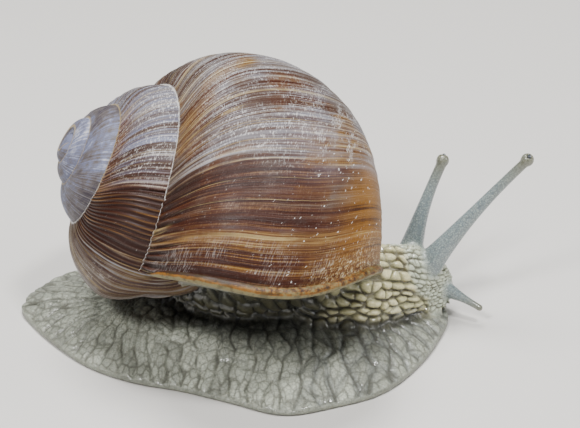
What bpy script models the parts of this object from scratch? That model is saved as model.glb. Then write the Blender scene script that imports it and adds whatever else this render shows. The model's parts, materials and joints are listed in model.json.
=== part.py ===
"""A crawling Roman snail, life size, as a still museum model.

The sole lies on the floor, the head points along +X and the snail's right side faces -Y.
The shell is a right-handed spiral: one oval section that grows by a fixed ratio each turn.
The flesh is one form, parted by thin cuts into head, neck, trunk, feelers and lengths of foot.
All lengths are in millimetres; new_object turns them into metres.
"""

import math

import bmesh
import bpy
from mathutils import Euler, Vector

MM = 0.001
GAP = 0.3  # clear space between neighbouring solids
FINE_GAP = 0.15  # the same round an eye, which is itself under a millimetre
TURN = 2 * math.pi

# Shell. Sizes are those at the lip; they shrink by the whorl ratio each turn back.
WHORL_RATIO = 1.728
RING_RADIUS = 12.63  # axis of coiling to the middle of the section
SECTION_OUT = 11.64  # half the section, away from the axis
SECTION_UP = 14.79  # half the section, along the axis
SECTION_LEAN = 0.118  # radians that the section leans outwards
SPIRE_HEIGHT = 26.1  # apex to the middle of the last section
APEX_STEP = 0.27  # blunt start of the spire
APEX_SINK = 3.0  # steps that the tip lies below it
SPIRE_CURVE = 1.117  # above 1 the spire is domed
DROP_TURNS = 0.35  # the last part of a turn bends down towards the lip ...
DROP_RATE = 15.6  # ... by this much times its turns squared
LIP_LAG = 0.26  # turns by which the lip's base trails its upper corner, per half section ...
LIP_LAG_EASE = -0.115  # ... and how that eases off
LIP_WAVE = 0.0078  # the lip's edge swings back and forth by this many turns ...
LIP_WAVE_LENGTH = 0.32  # ... once in this many half sections
SHELL_APEX = Vector((-27.1, -2.4, 27.3))
SHELL_TURN = Euler((math.radians(57.5), math.radians(14.7), math.radians(-96.2)))
FIRST_TURN = -4.25  # where the modelled spiral starts
COLUMNS = 32  # steps per turn
UPPER_ROWS = 8  # steps down a whorl as far as the next one covers it
LOWER_ROWS = 8  # steps round the base of the last whorl
BASE_ANGLE = math.radians(-158)  # where the base turns in to the axis
SUTURE_RANGE = (math.radians(30), math.radians(140))  # the suture is looked for between these
HALVINGS = 40
WALL = 1.0  # shell wall at the mouth
MOUTH_DEPTH = 0.05  # turns from the lip to the floor of the mouth
CORNER_ROWS = 3  # the mouth narrows over this many rows to its upper corner
BASE_TUCK = 2.4  # how far the underside is drawn in where the shell rests on the foot ...
TUCK_STARTS = (-1.0, -0.9)  # ... from full roundness at the first of these turns, ...
TUCK_ENDS = (-0.5, -0.75)  # ... back to it at the first of these, ...
TUCK_ABOVE = (math.radians(15), math.radians(-30))  # ... and between these angles of the section
TUCK_BELOW = (math.radians(-158), math.radians(-90))
LIP_BAND = 0.012  # turns that the thickened lip takes up
LIP_BACK = 0.005 - LIP_BAND  # its back edge, clear of the shell's own edge
LIP_FIRST_ROW = 2  # the lip and the mantle edge fade out before the upper corner
COLLAR_FIRST_ROW = 3
LIP_FLARE = 0.35  # how far the lip stands out

# Foot. The spine is a shallow bend; widths are to its right and left at even steps along it.
SPINE = (Vector((-33.3, 3.2)), Vector((-6.0, -5.0)), Vector((19.4, 1.5)))
RIGHT_WIDTHS = (7.0, 9.9, 12.6, 13.9, 14.5, 16.5, 19.1, 18.5, 17.8, 14.4, 9.5)
LEFT_WIDTHS = (18.0, 15.5, 14.0, 13.0, 12.5, 12.3, 12.0, 11.8, 11.5, 10.5, 8.0)
RIDGE_HEIGHTS = (2.2, 2.9, 3.7, 4.3, 4.8, 5.3, 5.6, 5.6, 5.3, 4.4, 2.8)
END_ROUNDNESS = 2.6  # 2 would round the foot's ends off as half an ellipse
END_CROWDING = 1.6  # above 1 the cross sections crowd towards the foot's ends
END_MARGIN = 0.004  # share of the spine left off at each end, where the width runs out
RIM_HEIGHT = 0.8
SOLE_ACROSS = (-0.95, -0.6, -0.2, 0.2, 0.6, 0.95)  # shares of the half width
RIM_PROFILE = ((0.995, 0.25), (1.0, 0.55), (0.985, 0.95))  # (share of half width, of rim height)
FLANK_ACROSS = (0.9, 0.78, 0.64, 0.48, 0.32, 0.15)  # shares of the half width
SEARCH_STEPS = 240  # places tried along the spine to find the nearest one
FLANK_CURVE = 1.25  # above 1 the flank flares out flat towards the rim
FOOT_STEPS = 44
FOOT_CUTS = (0.34, 0.7)  # where the tail, the middle and the front are parted

# Trunk: the column from the foot up into the mouth of the shell.
TRUNK_FOOT = Vector((-2.5, -0.1))
TRUNK_FOOT_HALF = Vector((10.4, 5.9))
TRUNK_TOP = Vector((-4.0, -16.4))
TRUNK_TOP_HALF = Vector((8.6, 5.6))
TRUNK_TOP_HEIGHT = 20.6
TRUNK_FLARE = 0.16  # how much wider the trunk is where it meets the foot
TRUNK_SIDES = 24
PAD_RINGS = 4
TRUNK_STEPS = 8
COLLAR_SWELL = 0.007  # turns that the mantle edge swells out past the lip
COLLAR_WIDTH = 2.4

# Neck and head, along one bent line. Each station is (share of the line, half width, top).
NECK_LINE = (Vector((-1.0, -3.4)), Vector((9.6, -3.8)), Vector((19.4, 4.1)))
NECK_STATIONS = (
    (0.0, 2.4, 8.4), (0.25, 4.1, 10.2), (0.5, 4.7, 11.0), (0.65, 3.9, 11.0),
    (0.78, 3.3, 10.3), (0.9, 2.8, 8.5), (0.96, 2.2, 6.8), (1.0, 0.9, 5.0),
)
STATION_ROUNDING = 0.4  # 0 runs straight from station to station, 1 levels off at each
HEAD_CUT = 0.66
NECK_STEPS = 26
ARCH_STEPS = 14
ARCH_POWER = 0.85  # below 1 the arch of the neck is fuller than half an ellipse
UNDER_ACROSS = (-0.7, -0.35, 0.0, 0.35, 0.7)  # shares of the half width
NECK_FLARE = 0.3  # how much wider the neck is where it meets the foot
SNOUT_START = 0.8  # share of the line where the underside starts to rise ...
SNOUT_RISE = 3.3  # ... and how far it has risen at the tip of the snout

# Feelers: base, end, sag sideways, base radius, end radius.
FEELER_SIDES = 10
UPPER_RIGHT = (Vector((16.8, 0.8, 7.6)), Vector((27.8, 0.6, 22.0)), Vector((-0.2, 0, 0.25)), 1.8, 0.6)
UPPER_LEFT = (Vector((14.9, 3.2, 8.6)), Vector((18.4, 6.0, 18.9)), Vector((-0.25, 0, 0.1)), 1.6, 0.66)
LOWER_RIGHT = (Vector((18.8, 1.4, 4.1)), Vector((23.2, -0.6, 2.5)), Vector((0, 0, 0.1)), 1.4, 0.42)
LOWER_LEFT = (Vector((17.3, 4.4, 4.3)), Vector((18.8, 7.8, 2.7)), Vector((0, 0, 0.1)), 1.4, 0.42)
FEELER_STEPS = 12
FEELER_TAPER = 2.4  # above 1 most of the taper is near the root
KNOB_RADIUS = 0.84
KNOB_STEPS = 6
SMALL_KNOB = 1.02  # knob of a lower feeler, in end radii: a plain round tip
BALL_ROWS = 6
EYE_RADIUS = 0.27
EYE_REACH = 0.6  # middle of the knob to the middle of the eye
EYE_RIGHT = Vector((0.3, -0.4, 0.88))
EYE_LEFT = Vector((0.25, 0.45, 0.85))


def clear_scene():
    for obj in list(bpy.data.objects):
        bpy.data.objects.remove(obj)


def material(name, colour, roughness):
    made = bpy.data.materials.new(name)
    made.use_nodes = True
    shader = made.node_tree.nodes["Principled BSDF"]
    shader.inputs["Base Color"].default_value = (*colour, 1.0)
    shader.inputs["Roughness"].default_value = roughness
    shader.inputs["Metallic"].default_value = 0.0
    return made


def new_object(name, points, faces, surface):
    """Make one closed solid from points in millimetres; faces may repeat a point, which is dropped."""
    mesh = bpy.data.meshes.new(name)
    work = bmesh.new()
    verts = [work.verts.new(Vector(point) * MM) for point in points]
    for face in faces:
        corners = list(dict.fromkeys(face))
        if len(corners) > 2:
            work.faces.new([verts[index] for index in corners])
    loose = [vert for vert in work.verts if not vert.link_faces]
    bmesh.ops.delete(work, geom=loose, context="VERTS")
    bmesh.ops.triangulate(work, faces=work.faces)
    bmesh.ops.recalc_face_normals(work, faces=work.faces)
    work.to_mesh(mesh)
    work.free()
    mesh.shade_smooth()
    mesh.set_sharp_from_angle(angle=math.radians(50))
    mesh.materials.append(surface)
    obj = bpy.data.objects.new(name, mesh)
    bpy.context.scene.collection.objects.link(obj)
    return obj


def loft(name, rings, surface):
    """Skin a row of equal rings and close each end with a fan to the ring's middle."""
    count = len(rings[0])
    points = [point for ring in rings for point in ring]
    faces = []
    for row in range(len(rings) - 1):
        for col in range(count):
            after = (col + 1) % count
            low, high = row * count, (row + 1) * count
            faces.append((low + col, low + after, high + after, high + col))
    for start, ring in ((0, rings[0]), (len(rings) * count - count, rings[-1])):
        points.append(sum(ring, Vector()) / count)
        middle = len(points) - 1
        faces += [(start + col, start + (col + 1) % count, middle) for col in range(count)]
    return new_object(name, points, faces, surface)


def cutter_from(obj, gap=GAP):
    """A hidden copy of a solid whose surface is moved out by the gap."""
    mesh = obj.data.copy()
    work = bmesh.new()
    work.from_mesh(mesh)
    for vert in work.verts:
        vert.co += vert.normal * (vert.calc_shell_factor() * gap * MM)
    work.to_mesh(mesh)
    work.free()
    cutter = bpy.data.objects.new(obj.name + "_cutter", mesh)
    bpy.context.scene.collection.objects.link(cutter)
    cutter.hide_render = True
    cutter.display_type = "WIRE"
    return cutter


def cut(obj, *cutters):
    """Take the cutters' volumes away from obj."""
    for cutter in cutters:
        step = obj.modifiers.new(cutter.name, "BOOLEAN")
        step.operation = "DIFFERENCE"
        step.solver = "EXACT"
        step.object = cutter


def blend(low, high, share):
    return low + (high - low) * share


def ease(low, high, value):
    """Run smoothly from 0 at low to 1 at high."""
    part = min(max((value - low) / (high - low), 0.0), 1.0)
    return part * part * (3 - 2 * part)


def bend(line, share):
    """A point on the curve that leaves line[0] towards line[1] and arrives at line[2]."""
    return line[0] * (1 - share) ** 2 + line[1] * 2 * share * (1 - share) + line[2] * share**2


def bend_direction(line, share):
    return ((line[1] - line[0]) * (1 - share) + (line[2] - line[1]) * share).normalized()


def smooth_step(values, share):
    """Read evenly spaced values as one smooth curve through all of them."""
    place = min(max(share, 0.0), 1.0) * (len(values) - 1)
    index = min(int(place), len(values) - 2)
    part = place - index
    before, low = values[max(index - 1, 0)], values[index]
    high, after = values[index + 1], values[min(index + 2, len(values) - 1)]
    rise, fall = (high - before) / 2, (after - low) / 2
    return (
        low + rise * part + (3 * (high - low) - 2 * rise - fall) * part**2
        + (2 * (low - high) + rise + fall) * part**3
    )


# Shell -----------------------------------------------------------------------------------------


def base_tuck(turns, angle):
    """The underside of the whorl before the last half turn is a little flatter than the oval."""
    along = ease(*TUCK_STARTS, turns) * ease(*TUCK_ENDS, turns)
    return BASE_TUCK * along * ease(*TUCK_ABOVE, angle) * ease(*TUCK_BELOW, angle)


def section_point(turns, angle, inset=0.0):
    """Distance from the axis and height along it; angle 0 is outwards, 90 degrees is to the apex."""
    scale = WHORL_RATIO**turns
    inset += base_tuck(turns, angle)
    out = (SECTION_OUT * scale - inset) * math.cos(angle)
    up = (SECTION_UP * scale - inset) * math.sin(angle)
    lean_cos, lean_sin = math.cos(SECTION_LEAN), math.sin(SECTION_LEAN)
    middle_out, middle_up = section_middle(turns)
    return middle_out + out * lean_cos - up * lean_sin, middle_up + out * lean_sin + up * lean_cos


def section_middle(turns):
    scale = WHORL_RATIO**turns
    down = APEX_STEP + (SPIRE_HEIGHT - APEX_STEP) * scale**SPIRE_CURVE
    down += DROP_RATE * max(turns + DROP_TURNS, 0.0) ** 2
    return RING_RADIUS * scale, -down


def section_angle(turns, out, up):
    """The angle at which a point lies round the section at this turn, and how far out, 1 on it."""
    scale = WHORL_RATIO**turns
    middle_out, middle_up = section_middle(turns)
    lean_cos, lean_sin = math.cos(SECTION_LEAN), math.sin(SECTION_LEAN)
    right, high = out - middle_out, up - middle_up
    across = (right * lean_cos + high * lean_sin) / (SECTION_OUT * scale)
    along = (high * lean_cos - right * lean_sin) / (SECTION_UP * scale)
    return math.atan2(along, across), math.hypot(across, along)


def suture_angle(turns):
    """Where a whorl meets the one before it, found by halving."""
    low, high = SUTURE_RANGE
    for _ in range(HALVINGS):
        middle = (low + high) / 2
        outside = section_angle(turns - 1, *section_point(turns, middle))[1] > 1
        low, high = (middle, high) if outside else (low, middle)
    return low


def covered_angle(turns):
    """Where the next whorl's suture lies on the section at this turn."""
    return section_angle(turns, *section_point(turns + 1, suture_angle(turns + 1)))[0]


def shell_point(turns, angle, inset=0.0):
    out, up = section_point(turns, angle, inset)
    around = -TURN * turns
    local = Vector((out * math.cos(around), out * math.sin(around), up))
    return SHELL_APEX + SHELL_TURN.to_matrix() @ local


def lip_lag(angle):
    """Turns by which the lip trails behind its upper corner."""
    half = (suture_angle(0) - angle) / math.pi
    wave = LIP_WAVE * math.sin(math.pi * half / LIP_WAVE_LENGTH)
    return LIP_LAG * half + LIP_LAG_EASE * half * half + wave


def row_angle(turns, row):
    """Rows run down each whorl to the next suture and, on the last turn, on round the base."""
    top = suture_angle(turns)
    split = covered_angle(min(turns, -1))
    if row <= UPPER_ROWS:
        return blend(top, split, row / UPPER_ROWS)
    return blend(split, BASE_ANGLE, (row - UPPER_ROWS) / LOWER_ROWS)


def last_turn_place(share, row):
    """Turns and angle in the last turn, whose columns swing round to run along the lip."""
    angle = row_angle(share - 1, row)
    behind = max(row - UPPER_ROWS, 0) / LOWER_ROWS * lip_lag(BASE_ANGLE)
    return blend(-1 - behind, -lip_lag(angle) - LIP_BAND, share), angle


def mouth_chain(depth, inset):
    """Points round the inside of the mouth's outer edge, from the suture to the base."""
    chain = []
    for row in range(1, UPPER_ROWS + LOWER_ROWS + 1):
        angle = row_angle(0, row)
        nearby = min(row / CORNER_ROWS, 1.0)
        chain.append(shell_point(-lip_lag(angle) - depth * nearby, angle, inset * nearby))
    return chain


def zip_chains(first, second):
    """Triangles between two rows of point numbers of different lengths."""
    faces = []
    here, there = 0, 0
    while here < len(first) - 1 or there < len(second) - 1:
        first_next = (here + 1) / (len(first) - 1)
        second_next = (there + 1) / (len(second) - 1)
        if first_next <= second_next:
            faces.append((first[here], first[here + 1], second[there]))
            here += 1
        else:
            faces.append((first[here], second[there + 1], second[there]))
            there += 1
    return faces


def build_shell(surface):
    """One closed skin: the coiled ribbon, its blunt apex, the base and the shallow mouth."""
    points, faces, at = [], [], {}

    def add(point):
        points.append(point)
        return len(points) - 1

    start = math.ceil(FIRST_TURN * COLUMNS)
    for col in range(start, 1):
        turns = col / COLUMNS
        rows = UPPER_ROWS + (LOWER_ROWS if col >= -COLUMNS else 0)
        for row in range(rows + 1):
            if row == UPPER_ROWS and col <= -COLUMNS:
                continue
            place = (turns, row_angle(turns, row))
            if col >= -COLUMNS:
                place = last_turn_place(turns + 1, row)
            at[col, row] = add(shell_point(*place))
    for col in range(start, -COLUMNS + 1):
        at[col, UPPER_ROWS] = at[col + COLUMNS, 0]
    for col in range(start, 0):
        rows = UPPER_ROWS + (LOWER_ROWS if col >= -COLUMNS else 0)
        for row in range(rows):
            faces.append((at[col, row], at[col, row + 1], at[col + 1, row + 1], at[col + 1, row]))

    edge = [at[col, 0] for col in range(start, start + COLUMNS + 1)]
    edge += [at[start, row] for row in range(UPPER_ROWS - 1, 0, -1)]
    tip = add(SHELL_APEX + SHELL_TURN.to_matrix() @ Vector((0, 0, -APEX_STEP * APEX_SINK)))
    faces += [(edge[i], edge[(i + 1) % len(edge)], tip) for i in range(len(edge))]

    last = UPPER_ROWS + LOWER_ROWS
    lip = [at[0, row] for row in range(last + 1)]
    rim = [lip[0]] + [add(point) for point in mouth_chain(LIP_BAND, WALL)]
    floor = [lip[0]] + [add(point) for point in mouth_chain(MOUTH_DEPTH, WALL)]
    wall = [at[-COLUMNS, row] for row in range(UPPER_ROWS, last + 1)]
    for outer, inner in ((lip, rim), (rim, floor)):
        for row in range(last):
            faces.append((outer[row], outer[row + 1], inner[row + 1], inner[row]))
    faces += zip_chains(floor, wall)

    base = [at[col, last] for col in range(-COLUMNS, 1)] + [rim[-1], floor[-1]]
    middle = add(sum((points[index] for index in base), Vector()) / len(base))
    faces += [(base[i], base[(i + 1) % len(base)], middle) for i in range(len(base))]
    return new_object("shell", points, faces, surface)


def edge_band(name, surface, first_row, section):
    """A band along the mouth's edge; section lists (turns past the lip, inset)."""
    rings = []
    for row in range(first_row, UPPER_ROWS + LOWER_ROWS + 1):
        angle = row_angle(0, row)
        lag = lip_lag(angle)
        rings.append([shell_point(ahead - lag, angle, inset) for ahead, inset in section])
    return loft(name, rings, surface)


def build_lip(surface):
    """The thickened lip: a rounded band just past the end of the shell."""
    section = (
        (LIP_BACK, 0.0), (-LIP_BAND / 3, -LIP_FLARE), (0.0, -LIP_FLARE),
        (LIP_BAND / 6, WALL / 2), (0.0, WALL), (LIP_BACK, WALL),
    )
    return edge_band("shell_lip", surface, LIP_FIRST_ROW, section)


def build_collar(surface):
    """The edge of the mantle: a band of flesh that lines the lip and swells out past it."""
    outer, inner = WALL + GAP, WALL + GAP + COLLAR_WIDTH
    section = (
        (-LIP_BAND, outer), (COLLAR_SWELL / 2, outer), (COLLAR_SWELL, outer + COLLAR_WIDTH / 3),
        (COLLAR_SWELL, inner - COLLAR_WIDTH / 3), (COLLAR_SWELL / 2, inner), (-LIP_BAND, inner),
    )
    return edge_band("mantle_collar", surface, COLLAR_FIRST_ROW, section)


# Flesh -----------------------------------------------------------------------------------------


def end_taper(share):
    return math.sqrt(max(1 - abs(2 * share - 1) ** END_ROUNDNESS, 0.0))


def foot_section(share):
    """Spine point, direction to the snail's right, both half widths and the ridge height."""
    ahead = bend_direction(SPINE, share)
    taper = end_taper(share)
    right = smooth_step(RIGHT_WIDTHS, share) * taper
    left = smooth_step(LEFT_WIDTHS, share) * taper
    ridge = RIM_HEIGHT + (smooth_step(RIDGE_HEIGHTS, share) - RIM_HEIGHT) * taper
    return bend(SPINE, share), Vector((ahead.y, -ahead.x)), right, left, ridge


def flank_height(ridge, across):
    """Height of the foot's upper side; across is 0 on the ridge and 1 at the rim."""
    return RIM_HEIGHT + (ridge - RIM_HEIGHT) * max(1 - across * across, 0.0) ** FLANK_CURVE


def foot_top(x, y):
    """Height of the foot's upper side above a place on the floor."""
    place = Vector((x, y))
    shares = [step / SEARCH_STEPS for step in range(SEARCH_STEPS + 1)]
    nearest = min(shares, key=lambda share: (bend(SPINE, share) - place).length_squared)
    middle, side, right, left, ridge = foot_section(nearest)
    offset = (place - middle).dot(side)
    width = right if offset > 0 else left
    return flank_height(ridge, min(abs(offset) / max(width, 0.1), 1.0))


def foot_ring(share):
    """One cross section: flat sole, round rim and the upper side."""
    middle, side, right, left, ridge = foot_section(share)
    half = [(across, RIM_HEIGHT * height) for across, height in RIM_PROFILE]
    half += [(across, flank_height(ridge, across)) for across in FLANK_ACROSS]
    ring = [(across, 0.0) for across in SOLE_ACROSS] + half + [(0.0, ridge)]
    ring += [(-across, height) for across, height in reversed(half)]
    points = []
    for across, height in ring:
        flat = middle + side * (across * (right if across > 0 else left))
        points.append(Vector((flat.x, flat.y, height)))
    return points


def build_foot(surface):
    """The foot in three lengths, parted by thin cuts."""
    length = (SPINE[2] - SPINE[0]).length
    half_cut = GAP / 2 / length
    bounds = (0.0, *FOOT_CUTS, 1.0)
    for number, name in enumerate(("foot_tail", "foot_middle", "foot_front")):
        low = bounds[number] + (half_cut if number else END_MARGIN)
        high = bounds[number + 1] - (half_cut if number < 2 else END_MARGIN)
        steps = math.ceil((high - low) * FOOT_STEPS)
        shares = []
        for step in range(steps + 1):
            part = step / steps
            if number == 0:
                part = part**END_CROWDING
            if number == 2:
                part = 1 - (1 - part) ** END_CROWDING
            shares.append(blend(low, high, part))
        loft(name, [foot_ring(share) for share in shares], surface)


def trunk_rings():
    """From a pad on the foot up into the mouth of the shell, where the shell trims it."""
    rings = []
    for step in range(1, PAD_RINGS + TRUNK_STEPS + 1):
        reach = min(step / PAD_RINGS, 1.0)
        share = max(step - PAD_RINGS, 0) / TRUNK_STEPS
        middle = TRUNK_FOOT.lerp(TRUNK_TOP, share)
        spread = reach * (1 + TRUNK_FLARE * (1 - share) ** 4)
        length = blend(TRUNK_FOOT_HALF.x, TRUNK_TOP_HALF.x, share) * spread
        width = blend(TRUNK_FOOT_HALF.y, TRUNK_TOP_HALF.y, share) * spread
        ring = []
        for corner in range(TRUNK_SIDES):
            angle = TURN * corner / TRUNK_SIDES
            x = middle.x + length * math.cos(angle)
            y = middle.y + width * math.sin(angle)
            foot = TRUNK_FOOT + (Vector((x, y)) - middle)
            low = foot_top(*foot) + GAP
            ring.append(Vector((x, y, blend(low, TRUNK_TOP_HEIGHT, share))))
        rings.append(ring)
    return rings


def neck_section(share):
    """One cross section of the neck or head: an arch standing on the foot."""
    middle = bend(NECK_LINE, share)
    ahead = bend_direction(NECK_LINE, share)
    side = Vector((ahead.y, -ahead.x))
    low, high = NECK_STATIONS[0], NECK_STATIONS[-1]
    for before, after in zip(NECK_STATIONS, NECK_STATIONS[1:]):
        if before[0] <= share <= after[0]:
            low, high = before, after
    part = (share - low[0]) / (high[0] - low[0])
    part = blend(part, ease(0.0, 1.0, part), STATION_ROUNDING)
    width = blend(low[1], high[1], part)
    top = blend(low[2], high[2], part)
    rise = SNOUT_RISE * max((share - SNOUT_START) / (1 - SNOUT_START), 0.0) ** 2
    points = []
    for step in range(ARCH_STEPS + 1):
        angle = math.pi * step / ARCH_STEPS
        flare = 1 + NECK_FLARE * max(1 - share / HEAD_CUT, 0.0) * (1 - math.sin(angle)) ** 2
        flat = middle + side * (width * math.cos(angle) * flare)
        floor = foot_top(flat.x, flat.y) + GAP + rise
        height = blend(floor, max(top, floor + GAP), math.sin(angle) ** ARCH_POWER)
        points.append(Vector((flat.x, flat.y, height)))
    for across in UNDER_ACROSS:
        flat = middle + side * (width * across)
        points.append(Vector((flat.x, flat.y, foot_top(flat.x, flat.y) + GAP + rise)))
    return points


def build_neck_and_head(surface):
    """One arch from the trunk to the snout, parted by a thin cut; returns both."""
    half_cut = GAP / 2 / (NECK_LINE[2] - NECK_LINE[0]).length
    made = []
    for name, low, high in (("neck", 0.0, HEAD_CUT - half_cut), ("head", HEAD_CUT + half_cut, 1.0)):
        steps = math.ceil((high - low) * NECK_STEPS)
        rings = [neck_section(blend(low, high, step / steps)) for step in range(steps + 1)]
        made.append(loft(name, rings, surface))
    return made


def feeler_rings(feeler, knob):
    """A tapering stem that ends in a round knob of this radius."""
    base, end, sag, base_radius, end_radius = feeler
    ahead = (end - base).normalized()
    side = ahead.cross(Vector((0, 1, 0))).normalized()
    over = ahead.cross(side)
    stations = []
    for step in range(FEELER_STEPS + 1):
        share = step / FEELER_STEPS
        middle = base.lerp(end, share) + sag * (4 * share * (1 - share))
        radius = end_radius + (base_radius - end_radius) * (1 - share) ** FEELER_TAPER
        stations.append((middle, radius))
    start = math.pi - math.asin(end_radius / knob)
    for step in range(1, KNOB_STEPS):
        angle = start * (1 - step / KNOB_STEPS)
        forward = knob * (math.cos(angle) - math.cos(start))
        stations.append((end + ahead * forward, knob * math.sin(angle)))
    rings = []
    for middle, radius in stations:
        ring = []
        for corner in range(FEELER_SIDES):
            angle = TURN * corner / FEELER_SIDES
            ring.append(middle + (side * math.cos(angle) + over * math.sin(angle)) * radius)
        rings.append(ring)
    return rings


def ball(name, middle, radius, surface):
    rings = []
    for row in range(1, BALL_ROWS):
        angle = math.pi * row / BALL_ROWS
        ring = []
        for corner in range(FEELER_SIDES):
            turn = TURN * corner / FEELER_SIDES
            flat = radius * math.sin(angle)
            across = Vector((flat * math.cos(turn), flat * math.sin(turn), radius * math.cos(angle)))
            ring.append(middle + across)
        rings.append(ring)
    return loft(name, rings, surface)


def build_feelers(surface, dark, head_cutter):
    """Two long feelers that carry the eyes, and two short ones beside the mouth."""
    for side, feeler, look in (("right", UPPER_RIGHT, EYE_RIGHT), ("left", UPPER_LEFT, EYE_LEFT)):
        stem = loft("upper_feeler_" + side, feeler_rings(feeler, KNOB_RADIUS), surface)
        base, end = feeler[0], feeler[1]
        reach = math.sqrt(KNOB_RADIUS**2 - feeler[4] ** 2)
        knob = end + (end - base).normalized() * reach
        eye = ball("eye_" + side, knob + look.normalized() * EYE_REACH, EYE_RADIUS, dark)
        cut(stem, head_cutter, cutter_from(eye, FINE_GAP))
    for side, feeler in (("right", LOWER_RIGHT), ("left", LOWER_LEFT)):
        stem = loft("lower_feeler_" + side, feeler_rings(feeler, feeler[4] * SMALL_KNOB), surface)
        cut(stem, head_cutter)


def stand_on_origin():
    """Move everything so that the origin is the middle of the underside of the whole box."""
    bpy.context.view_layer.update()
    solids = [obj for obj in bpy.data.objects if not obj.hide_render]
    corners = [obj.matrix_world @ vert.co for obj in solids for vert in obj.data.vertices]
    low = [min(corner[axis] for corner in corners) for axis in range(3)]
    high = [max(corner[axis] for corner in corners) for axis in range(3)]
    for obj in bpy.data.objects:
        obj.location -= Vector(((low[0] + high[0]) / 2, (low[1] + high[1]) / 2, low[2]))


def main():
    clear_scene()
    shell = material("shell", (0.36, 0.2, 0.12), 0.42)
    lip = material("lip", (0.62, 0.45, 0.28), 0.45)
    flesh = material("flesh", (0.5, 0.46, 0.38), 0.5)
    mantle = material("mantle", (0.52, 0.47, 0.33), 0.45)
    feelers = material("feelers", (0.47, 0.48, 0.47), 0.45)
    dark = material("eye", (0.03, 0.03, 0.035), 0.25)

    hard = [build_shell(shell), build_lip(lip)]
    hard.append(build_collar(mantle))
    build_foot(flesh)
    trunk = loft("trunk", trunk_rings(), flesh)
    neck, head = build_neck_and_head(flesh)
    around = [cutter_from(obj) for obj in hard]
    cut(neck, cutter_from(trunk))
    cut(trunk, *around)
    build_feelers(feelers, dark, cutter_from(head))
    stand_on_origin()


main()
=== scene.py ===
"""The looks of a crawling Roman snail: ridged, striped shell and moist, granular skin.

The frame gives the solids in metres. The shell is swept again on the spiral of its solid, finely
enough to carry its growth ridges, and one skin is grown over all the solids of the flesh.
Sizes are in millimetres unless a name says otherwise; meshes are written in metres.
"""

from __future__ import annotations

import itertools
import json
import logging
import math
from collections.abc import Sequence
from dataclasses import dataclass, field, replace
from enum import Enum
from typing import Any

import bmesh
import bpy
import numpy as np
from mathutils import Euler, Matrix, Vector
from mathutils.bvhtree import BVHTree
from mathutils.kdtree import KDTree

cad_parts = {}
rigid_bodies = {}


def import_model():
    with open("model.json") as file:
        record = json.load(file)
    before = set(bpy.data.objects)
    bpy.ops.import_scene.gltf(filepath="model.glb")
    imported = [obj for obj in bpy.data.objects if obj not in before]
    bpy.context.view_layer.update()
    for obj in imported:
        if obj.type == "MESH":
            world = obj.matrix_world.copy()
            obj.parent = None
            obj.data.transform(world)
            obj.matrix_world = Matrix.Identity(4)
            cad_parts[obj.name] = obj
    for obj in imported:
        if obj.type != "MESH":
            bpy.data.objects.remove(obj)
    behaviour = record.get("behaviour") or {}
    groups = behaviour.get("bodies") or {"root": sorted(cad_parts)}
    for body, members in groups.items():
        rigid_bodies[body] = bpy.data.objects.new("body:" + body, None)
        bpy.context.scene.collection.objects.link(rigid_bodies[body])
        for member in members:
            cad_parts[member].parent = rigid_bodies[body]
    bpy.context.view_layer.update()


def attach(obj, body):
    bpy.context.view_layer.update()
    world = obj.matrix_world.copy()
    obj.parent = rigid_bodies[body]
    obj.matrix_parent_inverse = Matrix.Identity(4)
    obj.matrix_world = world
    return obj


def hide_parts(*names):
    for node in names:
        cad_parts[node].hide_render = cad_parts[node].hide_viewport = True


LOG = logging.getLogger("snail")
MM = 0.001
TURN = 2 * math.pi

Array = np.ndarray
Colour = tuple[float, float, float]
Span = tuple[float, float]


class Slot(Enum):
    """The record's material slots."""

    SHELL = "shell"
    LIP = "lip"
    FLESH = "flesh"


class Lay(Enum):
    """How one colour lies on another."""

    OVER = "MIX"
    STAIN = "MULTIPLY"


# Noise -----------------------------------------------------------------------------------------


def smooth(share: Array) -> Array:
    """Round off the ends of a share that runs from 0 to 1."""
    return share * share * (3 - 2 * share)


def ease(low: float, high: float, value: Array) -> Array:
    """Run smoothly from 0 at low to 1 at high, which may be the smaller of the two."""
    return smooth(np.clip((value - low) / (high - low), 0, 1))


def window(value: Array, rise: Span, fall: Span) -> Array:
    """1 between two places, easing in over the span rise and out over the span fall."""
    return ease(*rise, value) * ease(*fall, value)


def blend(low: Any, high: Any, share: Any) -> Any:
    """Mix two numbers or arrays."""
    return low + (high - low) * share


def pillow(distance: Array, reach: float) -> Array:
    """Height of a rounded form: 0 at its border, 1 from this reach inwards."""
    return np.sqrt(1 - (1 - np.clip(distance / reach, 0, 1)) ** 2)


def notch(distance: Array, half_width: float | Array) -> Array:
    """Depth of a groove with rounded sides: 1 in its middle, 0 away from it."""
    return np.exp(-((distance / half_width) ** 2))


def scatter(cells: list[Array], seed: int) -> Array:
    """Give each whole-number cell a repeatable random number.

    Args:
        cells: One array of whole numbers for each axis.
        seed: Picks one of many unrelated sets of numbers.

    Returns:
        Numbers from 0 to 1, one for each cell.
    """
    spread, stir, largest = np.uint32(2654435761), np.uint32(2246822519), 4294967295.0
    key = np.full(np.shape(cells[0]), seed * 7919 + 13, dtype=np.uint32)
    for cell in cells:
        key = (key ^ np.asarray(cell).astype(np.int64).astype(np.uint32)) * spread
        key = key ^ (key >> np.uint32(15))
    key = key * stir
    key = key ^ (key >> np.uint32(13))
    return key / largest


def soft_noise(seed: int, *places: Array) -> Array:
    """Smooth noise with one bump or dip to each unit of length.

    Args:
        seed: Picks the pattern.
        *places: One array of coordinates for each axis.

    Returns:
        Numbers from -1 to 1.
    """
    whole = [np.floor(place) for place in places]
    part = [smooth(place - low) for place, low in zip(places, whole)]
    total = np.zeros(np.shape(places[0]))
    for corner in itertools.product((0, 1), repeat=len(places)):
        weight = np.ones(np.shape(places[0]))
        for bit, share in zip(corner, part):
            weight = weight * (share if bit else 1 - share)
        total += weight * scatter([low + bit for bit, low in zip(corner, whole)], seed)
    return total * 2 - 1


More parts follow.
